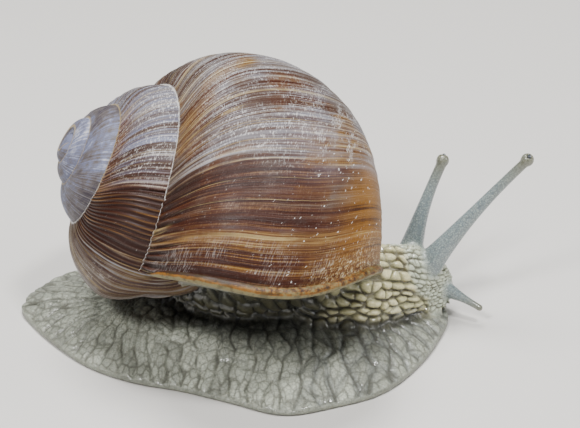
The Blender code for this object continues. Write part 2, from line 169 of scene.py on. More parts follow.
def two_noises(seed: int, *places: Array) -> Array:
    """Soft noise, and on top noise that is twice as fine and half as high."""
    return soft_noise(seed, *places) + soft_noise(seed + 1, *(part * 2 for part in places)) / 2


@dataclass(frozen=True)
class Beads:
    """Rounded, oval beads that stand in loose rows.

    Attributes:
        seed: Picks the pattern.
        width: Width of a row.
        length: Length of a bead along its row.
        unevenness: 0 is a brick wall, 1 is wholly irregular.
        rounding: How much the corners are rounded off, as a share of the width.
    """

    seed: int
    width: float
    length: float
    unevenness: float = 0.7
    rounding: float = 0.06

    def read(self, along: Array, down: Array) -> tuple[Array, Array, Array]:
        """Find where each place lies in its bead.

        Args:
            along: Coordinate across the rows.
            down: Coordinate down the rows.

        Returns:
            Distance to the nearest groove beside the row; the same for those across it; and a
            random number for each bead.
        """
        right, under = along / self.width, down / self.length
        lane = np.floor(right)
        nearest = np.full(np.shape(along), np.inf)
        own_right, own_under, own_lane, tint = (np.zeros_like(nearest) for _ in range(4))
        places = []
        for lane_step in (-1, 0, 1):
            here = lane + lane_step
            lift = scatter([here], self.seed)
            row = np.floor(under - lift)
            for row_step in (-1, 0, 1):
                cells = [here, row + row_step]
                shift = (scatter(cells, self.seed + 1) - 0.5) * self.unevenness
                slide = (scatter(cells, self.seed + 2) - 0.5) * self.unevenness
                middle_right = here + 0.5 + shift
                middle_under = row + row_step + 0.5 + lift + slide
                places.append((here, middle_right, middle_under))
                away = np.hypot(right - middle_right, under - middle_under)
                closer = away < nearest
                nearest = np.where(closer, away, nearest)
                own_right = np.where(closer, middle_right, own_right)
                own_under = np.where(closer, middle_under, own_under)
                own_lane = np.where(closer, here, own_lane)
                tint = np.where(closer, scatter(cells, self.seed + 3), tint)
        soft = self.width * self.rounding
        side, end = np.full(np.shape(along), 1e-12), np.full(np.shape(along), 1e-12)
        for here, middle_right, middle_under in places:
            over, below = middle_right - own_right, middle_under - own_under
            other = np.hypot(over, below) > 1e-6
            slope = np.where(other, np.hypot(over / self.width, below / self.length), 1.0)
            border_right = (middle_right + own_right) / 2 - right
            border_under = (middle_under + own_under) / 2 - under
            near = np.exp(-(border_right * over + border_under * below) / slope / soft)
            beside = here != own_lane
            side = side + np.where(other & beside, near, 0)
            end = end + np.where(other & ~beside, near, 0)
        return -soft * np.log(side), -soft * np.log(end), tint


# Shader maths ----------------------------------------------------------------------------------


class Value:
    """A socket of a node tree that Python's operators combine through Math nodes."""

    def __init__(self, recipe: Recipe, socket: bpy.types.NodeSocket) -> None:
        """Keep the recipe, to add nodes to, and the socket that holds the number."""
        self.recipe = recipe
        self.socket = socket

    def __add__(self, other: Value | float) -> Value:
        """Add."""
        return self.recipe.math("ADD", self, other)

    __radd__ = __add__

    def __sub__(self, other: Value | float) -> Value:
        """Take away."""
        return self.recipe.math("SUBTRACT", self, other)

    def __rsub__(self, other: float) -> Value:
        """Take away from a number."""
        return self.recipe.math("SUBTRACT", other, self)

    def __mul__(self, other: Value | float) -> Value:
        """Multiply."""
        return self.recipe.math("MULTIPLY", self, other)

    __rmul__ = __mul__

    def __truediv__(self, other: Value | float) -> Value:
        """Divide."""
        return self.recipe.math("DIVIDE", self, other)

    def away(self, place: float) -> Value:
        """How far this is from a number, up or down."""
        return self.recipe.math("ABSOLUTE", self - place)

    def ease(self, low: float, high: float) -> Value:
        """Run smoothly from one place to another.

        Args:
            low: Where it is 0.
            high: Where it is 1, which may be the smaller of the two.

        Returns:
            A number from 0 to 1.
        """
        if low > high:
            return 1 - self.ease(high, low)
        sockets = {"Value": self, "From Min": low, "From Max": high}
        return self.recipe.node("MapRange", {"interpolation_type": "SMOOTHSTEP"}, sockets)


class Recipe:
    """One material's node tree; every node but a Math node comes from the method node."""

    def __init__(self, name: str, roughness: float, **steady: Any) -> None:
        """Start a material.

        Args:
            name: The material's name.
            roughness: Roughness where nothing else is linked.
            **steady: Values for the shader's own sockets, with _ for a space in their names.
        """
        self.material = bpy.data.materials.new(name)
        self.material.use_nodes = True
        self.tree = self.material.node_tree
        self.shader = self.tree.nodes["Principled BSDF"]
        self.finish(Roughness=roughness, **steady)

    def finish(self, **values: Any) -> bpy.types.Material:
        """Feed the shader's sockets, with _ for a space in their names.

        Args:
            **values: Values to link, or steady numbers, vectors or colours.

        Returns:
            The material.
        """
        for key, value in values.items():
            self.feed(self.shader.inputs[key.replace("_", " ")], value)
        return self.material

    def feed(self, socket: bpy.types.NodeSocket, value: Any) -> None:
        """Give a socket what it needs.

        Args:
            socket: The socket.
            value: A Value to link, or a number, vector or colour to set.
        """
        if isinstance(value, Value):
            self.tree.links.new(value.socket, socket)
        elif socket.type == "RGBA":
            socket.default_value = (*value, 1.0)
        else:
            socket.default_value = value

    def node(
        self, kind: str, settings: dict[str, Any], sockets: dict[Any, Any], output: Any = 0
    ) -> Value:
        """Add one node.

        Args:
            kind: The node's type, without ShaderNode.
            settings: The node's own settings; stops are a ramp's (place, colour) pairs.
            sockets: What goes into its sockets, by name or number.
            output: The output that is wanted, by name or number.

        Returns:
            That output.
        """
        made = self.tree.nodes.new("ShaderNode" + kind)
        for key, value in settings.items():
            if key == "stops":
                self._set_stops(made.color_ramp, value)
            else:
                setattr(made, key, value)
        for key, value in sockets.items():
            self.feed(made.inputs[key], value)
        return Value(self, made.outputs[output])

    @staticmethod
    def _set_stops(ramp: bpy.types.ColorRamp, stops: Sequence[tuple[float, Colour]]) -> None:
        """Lay out a ramp.

        Args:
            ramp: The ramp, with its first two stops.
            stops: The stops that it gets, in order.
        """
        while len(ramp.elements) < len(stops):
            ramp.elements.new(1.0)
        for element, (place, colour) in zip(ramp.elements, stops):
            element.position = place
            element.color = (*colour, 1.0)

    def math(self, operation: str, *values: Value | float) -> Value:
        """Add a Math node."""
        return self.node("Math", {"operation": operation}, dict(enumerate(values)))

    def attributes(self, *names: str) -> list[Value]:
        """Read numbers stored on the mesh's points."""
        return [self.node("Attribute", {"attribute_name": name}, {}, "Fac") for name in names]

    def place(self) -> Value:
        """Object coordinates, in metres."""
        return self.node("TexCoord", {}, {}, "Object")

    def vector(self, x: Value, y: Value, z: float = 0.0) -> Value:
        """Put numbers together as a vector."""
        return self.node("CombineXYZ", {}, {0: x, 1: y, 2: z})

    def noise(self, place: Value, scale: float, detail: float = 3.0, rough: float = 0.5) -> Value:
        """Soft noise, about 0.5 in the middle."""
        sockets = {"Vector": place, "Scale": scale, "Detail": detail, "Roughness": rough}
        return self.node("TexNoise", {}, sockets, "Fac")

    def grain(
        self, x: Value, y: Value, seed: float, detail: float = 3.0, rough: float = 0.5
    ) -> Value:
        """Soft noise on two coordinates; the seed picks the pattern."""
        return self.noise(self.vector(x, y, seed), 1.0, detail, rough)

    def cells(self, place: Value, scale: float, borders: bool = False) -> Value:
        """Distance to the middles of cells, or to their borders."""
        feature = {"feature": "DISTANCE_TO_EDGE" if borders else "F1"}
        return self.node("TexVoronoi", feature, {"Vector": place, "Scale": scale})

    def ramp(self, value: Value, *stops: tuple[float, Colour]) -> Value:
        """Turn a number into a colour."""
        return self.node("ValToRGB", {"stops": stops}, {"Fac": value})

    def mix(
        self, share: Value | float, under: Value | Colour, over: Value | Colour, lay: Lay = Lay.OVER
    ) -> Value:
        """Lay one colour on another."""
        settings = {"data_type": "RGBA", "blend_type": lay.value}
        return self.node("Mix", settings, {0: share, 6: under, 7: over}, 2)

    def coats(self, colour: Value, *coats: tuple[Value, Value | Colour]) -> Value:
        """Lay several colours over one another.

        Args:
            colour: The lowest.
            *coats: The share that shows and the colour of each further one.

        Returns:
            The colour that is seen.
        """
        for share, over in coats:
            colour = self.mix(share, colour, over)
        return colour

    def bump(self, height: Value, millimetres: float) -> None:
        """Let a height from 0 to 1 roughen the surface by this many millimetres."""
        sockets = {"Height": height, "Distance": millimetres * MM, "Strength": 1.0}
        self.finish(Normal=self.node("Bump", {}, sockets))


Coats = list[tuple[Value, Value | Colour]]


# Meshes ----------------------------------------------------------------------------------------


def mesh_object(name: str, points: Array, faces: list[Sequence[int]]) -> bpy.types.Object:
    """Make a smooth-shaded object.

    Args:
        name: The piece's name.
        points: Points in millimetres.
        faces: Point numbers, anticlockwise as seen from outside.

    Returns:
        The object, at the origin.
    """
    mesh = bpy.data.meshes.new(name)
    mesh.from_pydata((points * MM).tolist(), [], faces)
    mesh.update()
    mesh.shade_smooth()
    made = bpy.data.objects.new(name, mesh)
    bpy.context.scene.collection.objects.link(made)
    return made


def write_numbers(obj: bpy.types.Object, **numbers: Array) -> None:
    """Store numbers on each point, for the material to read.

    Args:
        obj: The object.
        **numbers: The numbers, by name.
    """
    for name, values in numbers.items():
        made = obj.data.attributes.new(name, "FLOAT", "POINT")
        made.data.foreach_set("value", np.ascontiguousarray(values, dtype=np.float32))


def read_rows(
    items: bpy.types.bpy_prop_collection, key: str, width: int = 3, kind: type = np.float32
) -> Array:
    """Read one row of numbers from each item of a mesh.

    Args:
        items: The mesh's points, normals or edges.
        key: The name of what is read.
        width: How many numbers an item has.
        kind: Their type.

    Returns:
        One row for each item.
    """
    flat = np.empty(len(items) * width, dtype=kind)
    items.foreach_get(key, flat)
    return flat.reshape(-1, width)


def read_points(obj: bpy.types.Object) -> Array:
    """All points of a mesh, in millimetres."""
    return read_rows(obj.data.vertices, "co").astype(float) / MM


def read_normals(obj: bpy.types.Object) -> Array:
    """The normals at all points of a mesh."""
    return read_rows(obj.data.vertex_normals, "vector").astype(float)


def write_points(obj: bpy.types.Object, points: Array) -> None:
    """Move all points of a mesh, given in millimetres."""
    obj.data.vertices.foreach_set("co", (points * MM).astype(np.float32).ravel())
    obj.data.update()


def select(first: bpy.types.Object, *others: bpy.types.Object) -> None:
    """Select some objects and nothing else.

    Args:
        first: The one that becomes active.
        *others: The rest.
    """
    bpy.ops.object.select_all(action="DESELECT")
    for obj in (first, *others):
        obj.select_set(True)
    bpy.context.view_layer.objects.active = first


def join(first: bpy.types.Object, *others: bpy.types.Object) -> None:
    """Make one object of several; it keeps the first one's place and name."""
    select(first, *others)
    bpy.ops.object.join()


def apply_modifier(obj: bpy.types.Object, kind: str, **settings: Any) -> None:
    """Shape an object by a modifier and apply it.

    Args:
        obj: The object.
        kind: The modifier's type.
        **settings: Its settings.
    """
    select(obj)
    made = obj.modifiers.new(kind, kind)
    for key, value in settings.items():
        setattr(made, key, value)
    bpy.ops.object.modifier_apply(modifier=made.name)


@dataclass
class Net:
    """A mesh in the making: rings of points, and the numbers that the material reads on them."""

    points: list[Array] = field(default_factory=list)
    numbers: dict[str, list[Array]] = field(default_factory=dict)
    faces: list[Sequence[int]] = field(default_factory=list)

    def add(self, points: Array, numbers: dict[str, Array]) -> Array:
        """Add points.

        Args:
            points: One ring of them, or a grid of several rings.
            numbers: What the material reads, in the same layout.

        Returns:
            The points' numbers in the mesh, in the same layout.
        """
        start = sum(len(part) for part in self.points)
        self.points.append(points.reshape(-1, 3))
        for name, part in numbers.items():
            self.numbers.setdefault(name, []).append(part.ravel())
        return start + np.arange(points.size // 3).reshape(points.shape[:-1])

    def bridge(self, low: Array, high: Array) -> None:
        """Join two closed rings with the same count of points by a band of faces."""
        ends = np.roll(low, -1), np.roll(high, -1)
        self.faces += np.stack((low, ends[0], ends[1], high), axis=1).tolist()

    def strip(self, low: list[int], high: list[int]) -> None:
        """Join two open rows of points by triangles.

        Args:
            low: The numbers of the points of one row.
            high: Those of the other, which may be more or fewer.
        """
        here, there = 0, 0
        while here < len(low) - 1 or there < len(high) - 1:
            if (here + 1) / (len(low) - 1) <= (there + 1) / (len(high) - 1):
                self.faces.append((low[here], low[here + 1], high[there]))
                here += 1
            else:
                self.faces.append((low[here], high[there + 1], high[there]))
                there += 1

    def cap(self, ring: Array) -> None:
        """Close a ring by a fan of triangles round its middle.

        Args:
            ring: The numbers of its points, anticlockwise as seen from outside.
        """
        middle = np.concatenate(self.points)[ring].mean(axis=0)[None]
        means = {
            name: np.concatenate(parts)[ring].mean(keepdims=True)
            for name, parts in self.numbers.items()
        }
        fan = np.full_like(ring, self.add(middle, means)[0])
        self.faces += np.stack((ring, np.roll(ring, -1), fan), axis=1).tolist()

    def make(self, name: str) -> bpy.types.Object:
        """Make the object.

        Args:
            name: The piece's name.

        Returns:
            The object, at the origin.
        """
        made = mesh_object(name, np.concatenate(self.points), self.faces)
        write_numbers(made, **{key: np.concatenate(part) for key, part in self.numbers.items()})
        return made


# Shell -----------------------------------------------------------------------------------------


@dataclass(frozen=True)
class Spiral:
    """The shell's spiral: an oval section that grows by a fixed ratio each turn.

    The turns run up to 0 at the lip. Angles round the section are in radians: 0 points away from
    the axis and a quarter turn points to the apex. Sizes are those at the lip.
    """

    whorl_ratio: float = 1.728
    ring_radius: float = 12.63
    section_out: float = 11.64
    section_up: float = 14.79
    section_lean: float = 0.118
    spire_height: float = 26.1
    apex_step: float = 0.27
    spire_curve: float = 1.117
    drop_turns: float = 0.35
    drop_rate: float = 15.6
    lip_lag: float = 0.26
    lip_lag_ease: float = -0.115
    lip_wave: float = 0.0078
    lip_wave_length: float = 0.32
    apex: Vector = field(default_factory=lambda: Vector((-27.1, -2.4, 27.3)))
    tilt: Euler = field(
        default_factory=lambda: Euler([math.radians(part) for part in (57.5, 14.7, -96.2)])
    )
    base_angle: float = math.radians(-158)
    base_tuck: float = 2.4
    tuck_turns: tuple[Span, Span] = ((-1.0, -0.9), (-0.5, -0.75))
    tuck_degrees: tuple[Span, Span] = ((15, -30), (-158, -90))

    def tuck(self, turns: Array, angle: Array) -> Array:
        """How far the underside is drawn in where the shell rests on the foot."""
        along = window(turns, *self.tuck_turns)
        return self.base_tuck * along * window(np.degrees(angle), *self.tuck_degrees)

    def middle(self, turns: Array) -> tuple[Array, Array]:
        """Find the middle of a section.

        Args:
            turns: Turns at the section.

        Returns:
            Its distance from the axis, and its height along the axis.
        """
        scale = self.whorl_ratio**turns
        down = self.apex_step + (self.spire_height - self.apex_step) * scale**self.spire_curve
        down = down + self.drop_rate * np.maximum(turns + self.drop_turns, 0) ** 2
        return self.ring_radius * scale, -down

    def section(
        self, turns: Array, angle: Array, lift: Array | float = 0.0
    ) -> tuple[Array, Array]:
        """Find a point of a section.

        Args:
            turns: Turns at the section.
            angle: Angle round it.
            lift: How far the point stands out from the surface.

        Returns:
            Its distance from the axis, and its height along the axis.
        """
        scale = self.whorl_ratio**turns
        lift = lift - self.tuck(turns, angle)
        out = (self.section_out * scale + lift) * np.cos(angle)
        high = (self.section_up * scale + lift) * np.sin(angle)
        cos, sin = math.cos(self.section_lean), math.sin(self.section_lean)
        middle_out, middle_up = self.middle(turns)
        return middle_out + out * cos - high * sin, middle_up + out * sin + high * cos

    def reading(self, turns: Array, out: Array, high: Array) -> tuple[Array, Array]:
        """Find where a point lies by a section.

        Args:
            turns: Turns at the section.
            out: The point's distance from the axis.
            high: Its height along the axis.

        Returns:
            Its angle round the section, and its distance from the middle: 1 is on the section.
        """
        scale = self.whorl_ratio**turns
        middle_out, middle_up = self.middle(turns)
        cos, sin = math.cos(self.section_lean), math.sin(self.section_lean)
        right, above = out - middle_out, high - middle_up
        across = (right * cos + above * sin) / (self.section_out * scale)
        along = (above * cos - right * sin) / (self.section_up * scale)
        return np.arctan2(along, across), np.hypot(across, along)

    def suture(self, turns: Array) -> Array:
        """Find the angle at which a whorl meets the one before it, by halving.

        Args:
            turns: Turns at the whorl's section.

        Returns:
            The angle round that section.
        """
        low, high = (np.full(np.shape(turns), math.radians(limit)) for limit in (30, 140))
        for _ in range(30):
            middle = (low + high) / 2
            outside = self.reading(turns - 1, *self.section(turns, middle))[1] > 1
            low, high = np.where(outside, middle, low), np.where(outside, high, middle)
        return low

    def covered(self, turns: Array) -> Array:
        """The angle at which the next whorl's suture lies on a whorl."""
        after = turns + 1
        return self.reading(turns, *self.section(after, self.suture(after)))[0]

    def lag(self, angle: Array) -> Array:
        """Find how far a growth line trails behind its upper end.

        Args:
            angle: Angle round the section.

        Returns:
            Turns.
        """
        half = (self.suture(np.zeros(1))[0] - np.maximum(angle, self.base_angle)) / math.pi
        wave = self.lip_wave * np.sin(math.pi * half / self.lip_wave_length)
        return self.lip_lag * half + self.lip_lag_ease * half * half + wave

    def points(self, turns: Array, angle: Array, lift: Array | float = 0.0) -> Array:
        """Find points of the shell in the frame.

        Args:
            turns: Turns at each point.
            angle: Angle round its section.
            lift: How far it stands out from the surface.

        Returns:
            Points in millimetres.
        """
        out, high = self.section(turns, angle, lift)
        around = -TURN * turns
        local = np.stack((out * np.cos(around), out * np.sin(around), high), axis=-1)
        return local @ np.array(self.tilt.to_matrix()).T + np.array(self.apex)


@dataclass(frozen=True)
class Ridges:
    """The relief of the shell; a length is that from one ridge to the next.

    Attributes:
        beside_turns: Turns between which a strip below the suture is ribbed.
        ribbed_turns: Turns between which the whorl is ribbed all over.
        wrinkled_turns: Turns over which wrinkles near the suture set in towards the lip.
        fade_turns: Turns over which the relief sets in after the apex.
    """

    fold_length: float = 1.05
    fold_height: float = 0.04
    line_length: float = 0.45
    line_height: float = 0.03
    swell_length: float = 7.0
    swell_height: float = 0.05
    crease_length: float = 1.2
    crease_height: float = 0.17
    rib_length: float = 0.62
    rib_height: float = 0.07
    pit_size: float = 0.7
    pit_depth: float = 0.03
    seam_height: float = 0.09
    beside_turns: tuple[Span, Span] = ((-1.3, -1.2), (-0.84, -0.9))
    ribbed_turns: tuple[Span, Span] = ((-1.12, -1.04), (-0.86, -0.95))
    wrinkled_turns: Span = (-0.2, -0.03)
    fade_turns: Span = (-4.1, -2.6)

    def read(
        self, growth: Array, scale: Array, turns: Array, across: Array, share: Array
    ) -> tuple[Array, Array]:
        """Find the height of the surface over the plain spiral.

        Args:
            growth: Millimetres of growth.
            scale: Size of the section; 1 at the lip.
            turns: Turns of the growth line.
            across: Millimetres from the suture.
            share: 0 at the suture, 1 where the next whorl's suture runs, more on the base.

        Returns:
            Heights in millimetres, and how far each place stands on a rib (1) or between ribs (-1).
        """
        bent = growth + 0.5 * soft_noise(3, growth / 6, across / 5)
        folds = two_noises(11, bent / self.fold_length, across / 9)
        lines = two_noises(23, bent / self.line_length, across / 25)
        swell = soft_noise(31, bent / self.swell_length, across / 30)
        waver = 0.5 * soft_noise(45, growth / 3, across / 8)
        creases = np.sin(TURN * (bent / self.crease_length + waver))
        waver = 0.4 * soft_noise(47, growth / 1.6, across / 7)
        ribs = np.sin(TURN * (bent / self.rib_length + waver))

        near_suture = window(share, (0.9, 0.1), (1.6, 1.2))
        beside = window(turns, *self.beside_turns) * ease(3.5, 1.0, across)
        strong = np.maximum(window(turns, *self.ribbed_turns), beside)
        wrinkles = near_suture * ease(8.0, 3.0, across) * ease(*self.wrinkled_turns, turns)
        height = (self.fold_height + 0.05 * near_suture) * folds + self.line_height * lines
        height = height + self.swell_height * swell + self.rib_height * strong * ribs
        height = height + wrinkles * (self.crease_height * creases + 0.1 * folds)
        pits = ease(0.62, 0.8, soft_noise(41, growth / self.pit_size, across / self.pit_size))
        height = (height - self.pit_depth * pits) * blend(0.25, 1.0, ease(0.0, 0.8, across))
        beaded = 1 + 0.5 * soft_noise(43, growth / 0.4, across)
        height = height + self.seam_height * notch(across - 0.1, 0.28) * beaded
        rib = folds * 0.15 + lines * 0.12 + wrinkles * creases
        rib = rib + strong * (ribs * 0.8 + lines * 0.3)
        fade = np.clip(scale * 1.6, 0.15, 1) * ease(*self.fade_turns, turns)
        return height * fade, rib * fade


@dataclass
class Shell:
    """The coiled shell, on the solid's spiral, with growth ridges in the mesh.

    Columns follow the growth lines. Rows run down each whorl from its suture; on the last turn
    they run on round the base. The side that is hidden inside the shell has few rows.
    """

    spiral: Spiral = field(default_factory=Spiral)
    ridges: Ridges = field(default_factory=Ridges)
    column_step: float = 0.125
    outer_edge: float = 130.0
    first_turn: float = -4.0
    fine_turn: float = -1.04
    upper_rows: int = 28
    lower_rows: int = 40
    inner_rows: int = 8
    wall: float = 1.0
    mouth_depth: float = 0.05
    nucleus_radius: float = 1.3
    nucleus_rise: float = 0.2
    nucleus_rings: int = 7
    suture_overlap: float = math.radians(5)

    def growth(self, turns: Array) -> Array:
        """Millimetres of growth along the outer edge, 0 at the lip and negative before it."""
        ratio = self.spiral.whorl_ratio
        return self.outer_edge / math.log(ratio) * (ratio**turns - 1)

    def turns_at(self, growth: Array) -> Array:
        """The turns at which the growth has this value."""
        ratio = self.spiral.whorl_ratio
        return np.log(growth * math.log(ratio) / self.outer_edge + 1) / math.log(ratio)

    def columns(self) -> tuple[Array, Array]:
        """Space the growth lines evenly.

        Returns:
            Turns of those on the spire and on the last turn; both hold the one between.
        """
        start, middle = self.growth(np.array([self.first_turn, self.fine_turn]))
        early = np.linspace(start, middle, round((middle - start) / self.column_step))
        late = np.linspace(middle, 0, round(-middle / self.column_step))
        return self.turns_at(early), self.turns_at(late)

    def _sweep(self, turns: Array, base: bool) -> tuple[Array, dict[str, Array], Array]:
        """Lay rings of points along growth lines.

        Args:
            turns: Turns of the growth lines.
            base: Whether the base of the whorl shows.

        Returns:
            Points; the numbers that the material reads; and the angles round the section.
        """
        top = self.spiral.suture(turns) + self.suture_overlap
        marks = [top, self.spiral.covered(np.minimum(turns, -1.0)), top - TURN]
        upper = np.linspace(0, 1, self.upper_rows + 1)
        lower = np.linspace(0, 1, self.lower_rows + 1)[1:]
        inner = np.linspace(0, 1, self.inner_rows + 2)[1:-1]
        if base:
            marks.insert(2, np.full_like(top, self.spiral.base_angle))
            rows, shares = (upper, lower, inner), (upper, 1 + lower, np.full(len(inner), 2.0))
        else:
            rows, shares = (upper, inner), (upper, np.full(len(inner), 1.5))
        stretches = zip(marks, marks[1:], rows)
        angles = np.concatenate(
            [blend(low[:, None], high[:, None], row) for low, high, row in stretches], axis=1
        )
        share = np.broadcast_to(np.concatenate(shares), angles.shape)
        turns = np.broadcast_to(turns[:, None], angles.shape)
        growth, size = self.growth(turns), self.spiral.whorl_ratio**turns
        radius = (self.spiral.section_out + self.spiral.section_up) / 2 * size
        across = (angles[:, :1] - self.suture_overlap - angles) * radius
        lift, rib = self.ridges.read(growth, size, turns, across, share)
        points = self.spiral.points(turns - self.spiral.lag(angles), angles, lift)
        numbers = {"growth": growth, "across": across, "turn": turns, "share": share, "rib": rib}
        return points, numbers, angles

    def build(self) -> bpy.types.Object:
        """Sweep the closed shell: spire, last turn, the wall of the mouth, and the apex.

        Returns:
            The shell.
        """
        net = Net()
        early, late = self.columns()
        spire_points, spire_numbers, _ = self._sweep(early, base=False)
        last_points, last_numbers, angles = self._sweep(late, base=True)
        spire = net.add(spire_points, spire_numbers)
        last = net.add(last_points, last_numbers)
        for low, high in (*zip(spire, spire[1:]), *zip(last, last[1:])):
            net.bridge(low, high)

        # Both grids have the rows that show; behind them the finer ring is joined by a fan.
        low, high = spire[-1].tolist(), last[0].tolist()
        for row in range(self.upper_rows):
            net.faces.append((low[row], low[row + 1], high[row + 1], high[row]))
        net.strip([*low[self.upper_rows:], low[0]], [*high[self.upper_rows:], high[0]])

        # Mouth: the edge turns in over the wall's thickness and runs back to a closed floor.
        ring, angles = last[-1], angles[-1]
        for depth in (0.0, self.mouth_depth):
            points = self.spiral.points(-depth - self.spiral.lag(angles), angles, -self.wall)
            inner = net.add(points, {name: part[-1] for name, part in last_numbers.items()})
            net.bridge(ring, inner)
            ring = inner
        net.cap(ring)

        # Apex: the first whorl starts with a rounded end.
        start_numbers = {name: part[0] for name, part in spire_numbers.items()}
        first, second = spire_points[0], spire_points[1]
        middle = (first.min(axis=0) + first.max(axis=0)) / 2
        back = middle - (second.min(axis=0) + second.max(axis=0)) / 2
        back *= self.nucleus_radius / np.linalg.norm(back)
        ring = spire[0]
        for angle in np.linspace(0, math.pi / 2, self.nucleus_rings + 1)[1:-1]:
            points = middle + (first - middle) * math.cos(angle) + back * math.sin(angle)
            outer = net.add(points, start_numbers)
            net.bridge(outer, ring)
            ring = outer
        net.cap(ring[::-1])

        made = net.make("shell_visual")
        join(made, self._nucleus(start_numbers))
        return made

    def _nucleus(self, numbers: dict[str, Array]) -> bpy.types.Object:
        """Add the smooth dome in the middle of the apex.

        Args:
            numbers: What the material reads on the first ring.

        Returns:
            The dome, round the shell's axis.
        """
        axis = np.array(self.spiral.tilt.to_matrix())[:, 2]
        height = float(self.spiral.middle(np.array(self.first_turn))[1]) + self.nucleus_rise
        place = (np.array(self.spiral.apex) + axis * height) * MM
        bpy.ops.mesh.primitive_uv_sphere_add(
            segments=48, ring_count=24, radius=self.nucleus_radius * MM, location=place
        )
        bpy.ops.object.shade_smooth()
        dome = bpy.context.view_layer.objects.active
        count = len(dome.data.vertices)
        medians = {name: float(np.median(part)) for name, part in numbers.items()}
        write_numbers(dome, **{name: np.full(count, part) for name, part in medians.items()})
        return dome


@dataclass
class Lip:
    """The thickened, reflected lip: a rounded band along the edge of the mouth."""

    spiral: Spiral = field(default_factory=Spiral)
    width: float = 0.0095
    flare: float = 0.35
    wall: float = 1.0
    first_angle: float = math.radians(9)
    rows: int = 260
    sides: int = 16

    def build(self) -> bpy.types.Object:
        """Sweep a rounded section along the edge.

        Returns:
            The lip.
        """
        top = self.spiral.suture(np.zeros(1))[0] - self.first_angle
        angles = np.linspace(top, self.spiral.base_angle, self.rows)
        around = np.linspace(0, TURN, self.sides, endpoint=False)
        along = np.linspace(0, 1, self.rows)
        fade = 0.15 + 0.85 * window(along, (0, 0.06), (1, 0.985))
        wear = 1 + 0.12 * soft_noise(51, np.linspace(0, 45, self.rows))
        ahead = self.width * (np.cos(around)[None] * 0.5 - 0.32)
        half = (self.wall / 2 + self.flare / 2) * fade * wear
        lift = self.flare * fade - self.wall / 2 * fade
        lift = lift[:, None] + half[:, None] * np.sin(around)[None]
        turns = ahead * fade[:, None] - self.spiral.lag(angles)[:, None]
        points = self.spiral.points(turns, np.broadcast_to(angles[:, None], turns.shape), lift)

        net = Net()
        edge = np.broadcast_to(np.cos(around), turns.shape)
        grid = net.add(points, {"edge": edge, "along": np.repeat(along, self.sides)})
        for low, high in zip(grid, grid[1:]):
            net.bridge(high, low)
        net.faces += [grid[0].tolist(), grid[-1][::-1].tolist()]
        return net.make("lip_visual")


# Skin ------------------------------------------------------------------------------------------


@dataclass(frozen=True)
class Spine:
    """A bent line on the floor under the body, from which places are measured.

    Attributes:
        start: Its first point.
        bend: The point that it bends towards.
        end: Its last point.
        used: The part of it that is used, as shares of its run.
        samples: How many points stand for it.
    """

    start: Vector
    bend: Vector
    end: Vector
    used: Span
    samples: int

    def read(self, places: Array) -> tuple[Array, Array, Array, Array]:
        """Measure places from the line.

        Args:
            places: Places on the floor.

        Returns:
            Length of the line up to its point nearest to each place; how far the place lies ahead
            of that point, and to its right; and whether the point is between the line's ends.
        """
        share = np.linspace(*self.used, self.samples)[:, None]
        start, bend, end = np.array(self.start), np.array(self.bend), np.array(self.end)
        line = start * (1 - share) ** 2 + bend * 2 * share * (1 - share) + end * share**2
        ahead = np.gradient(line, axis=0)
        ahead /= np.linalg.norm(ahead, axis=1, keepdims=True)
        steps = np.linalg.norm(np.diff(line, axis=0), axis=1)
        length = np.concatenate(([0], np.cumsum(steps)))
        nearest = np.concatenate(
            [((part[:, None] - line) ** 2).sum(-1).argmin(1) for part in np.array_split(places, 40)]
        )
        offset = places - line[nearest]
        forward = (offset * ahead[nearest]).sum(1)
        side = offset[:, 0] * ahead[nearest, 1] - offset[:, 1] * ahead[nearest, 0]
        return length[nearest], forward, side, (nearest > 0) & (nearest < self.samples - 1)


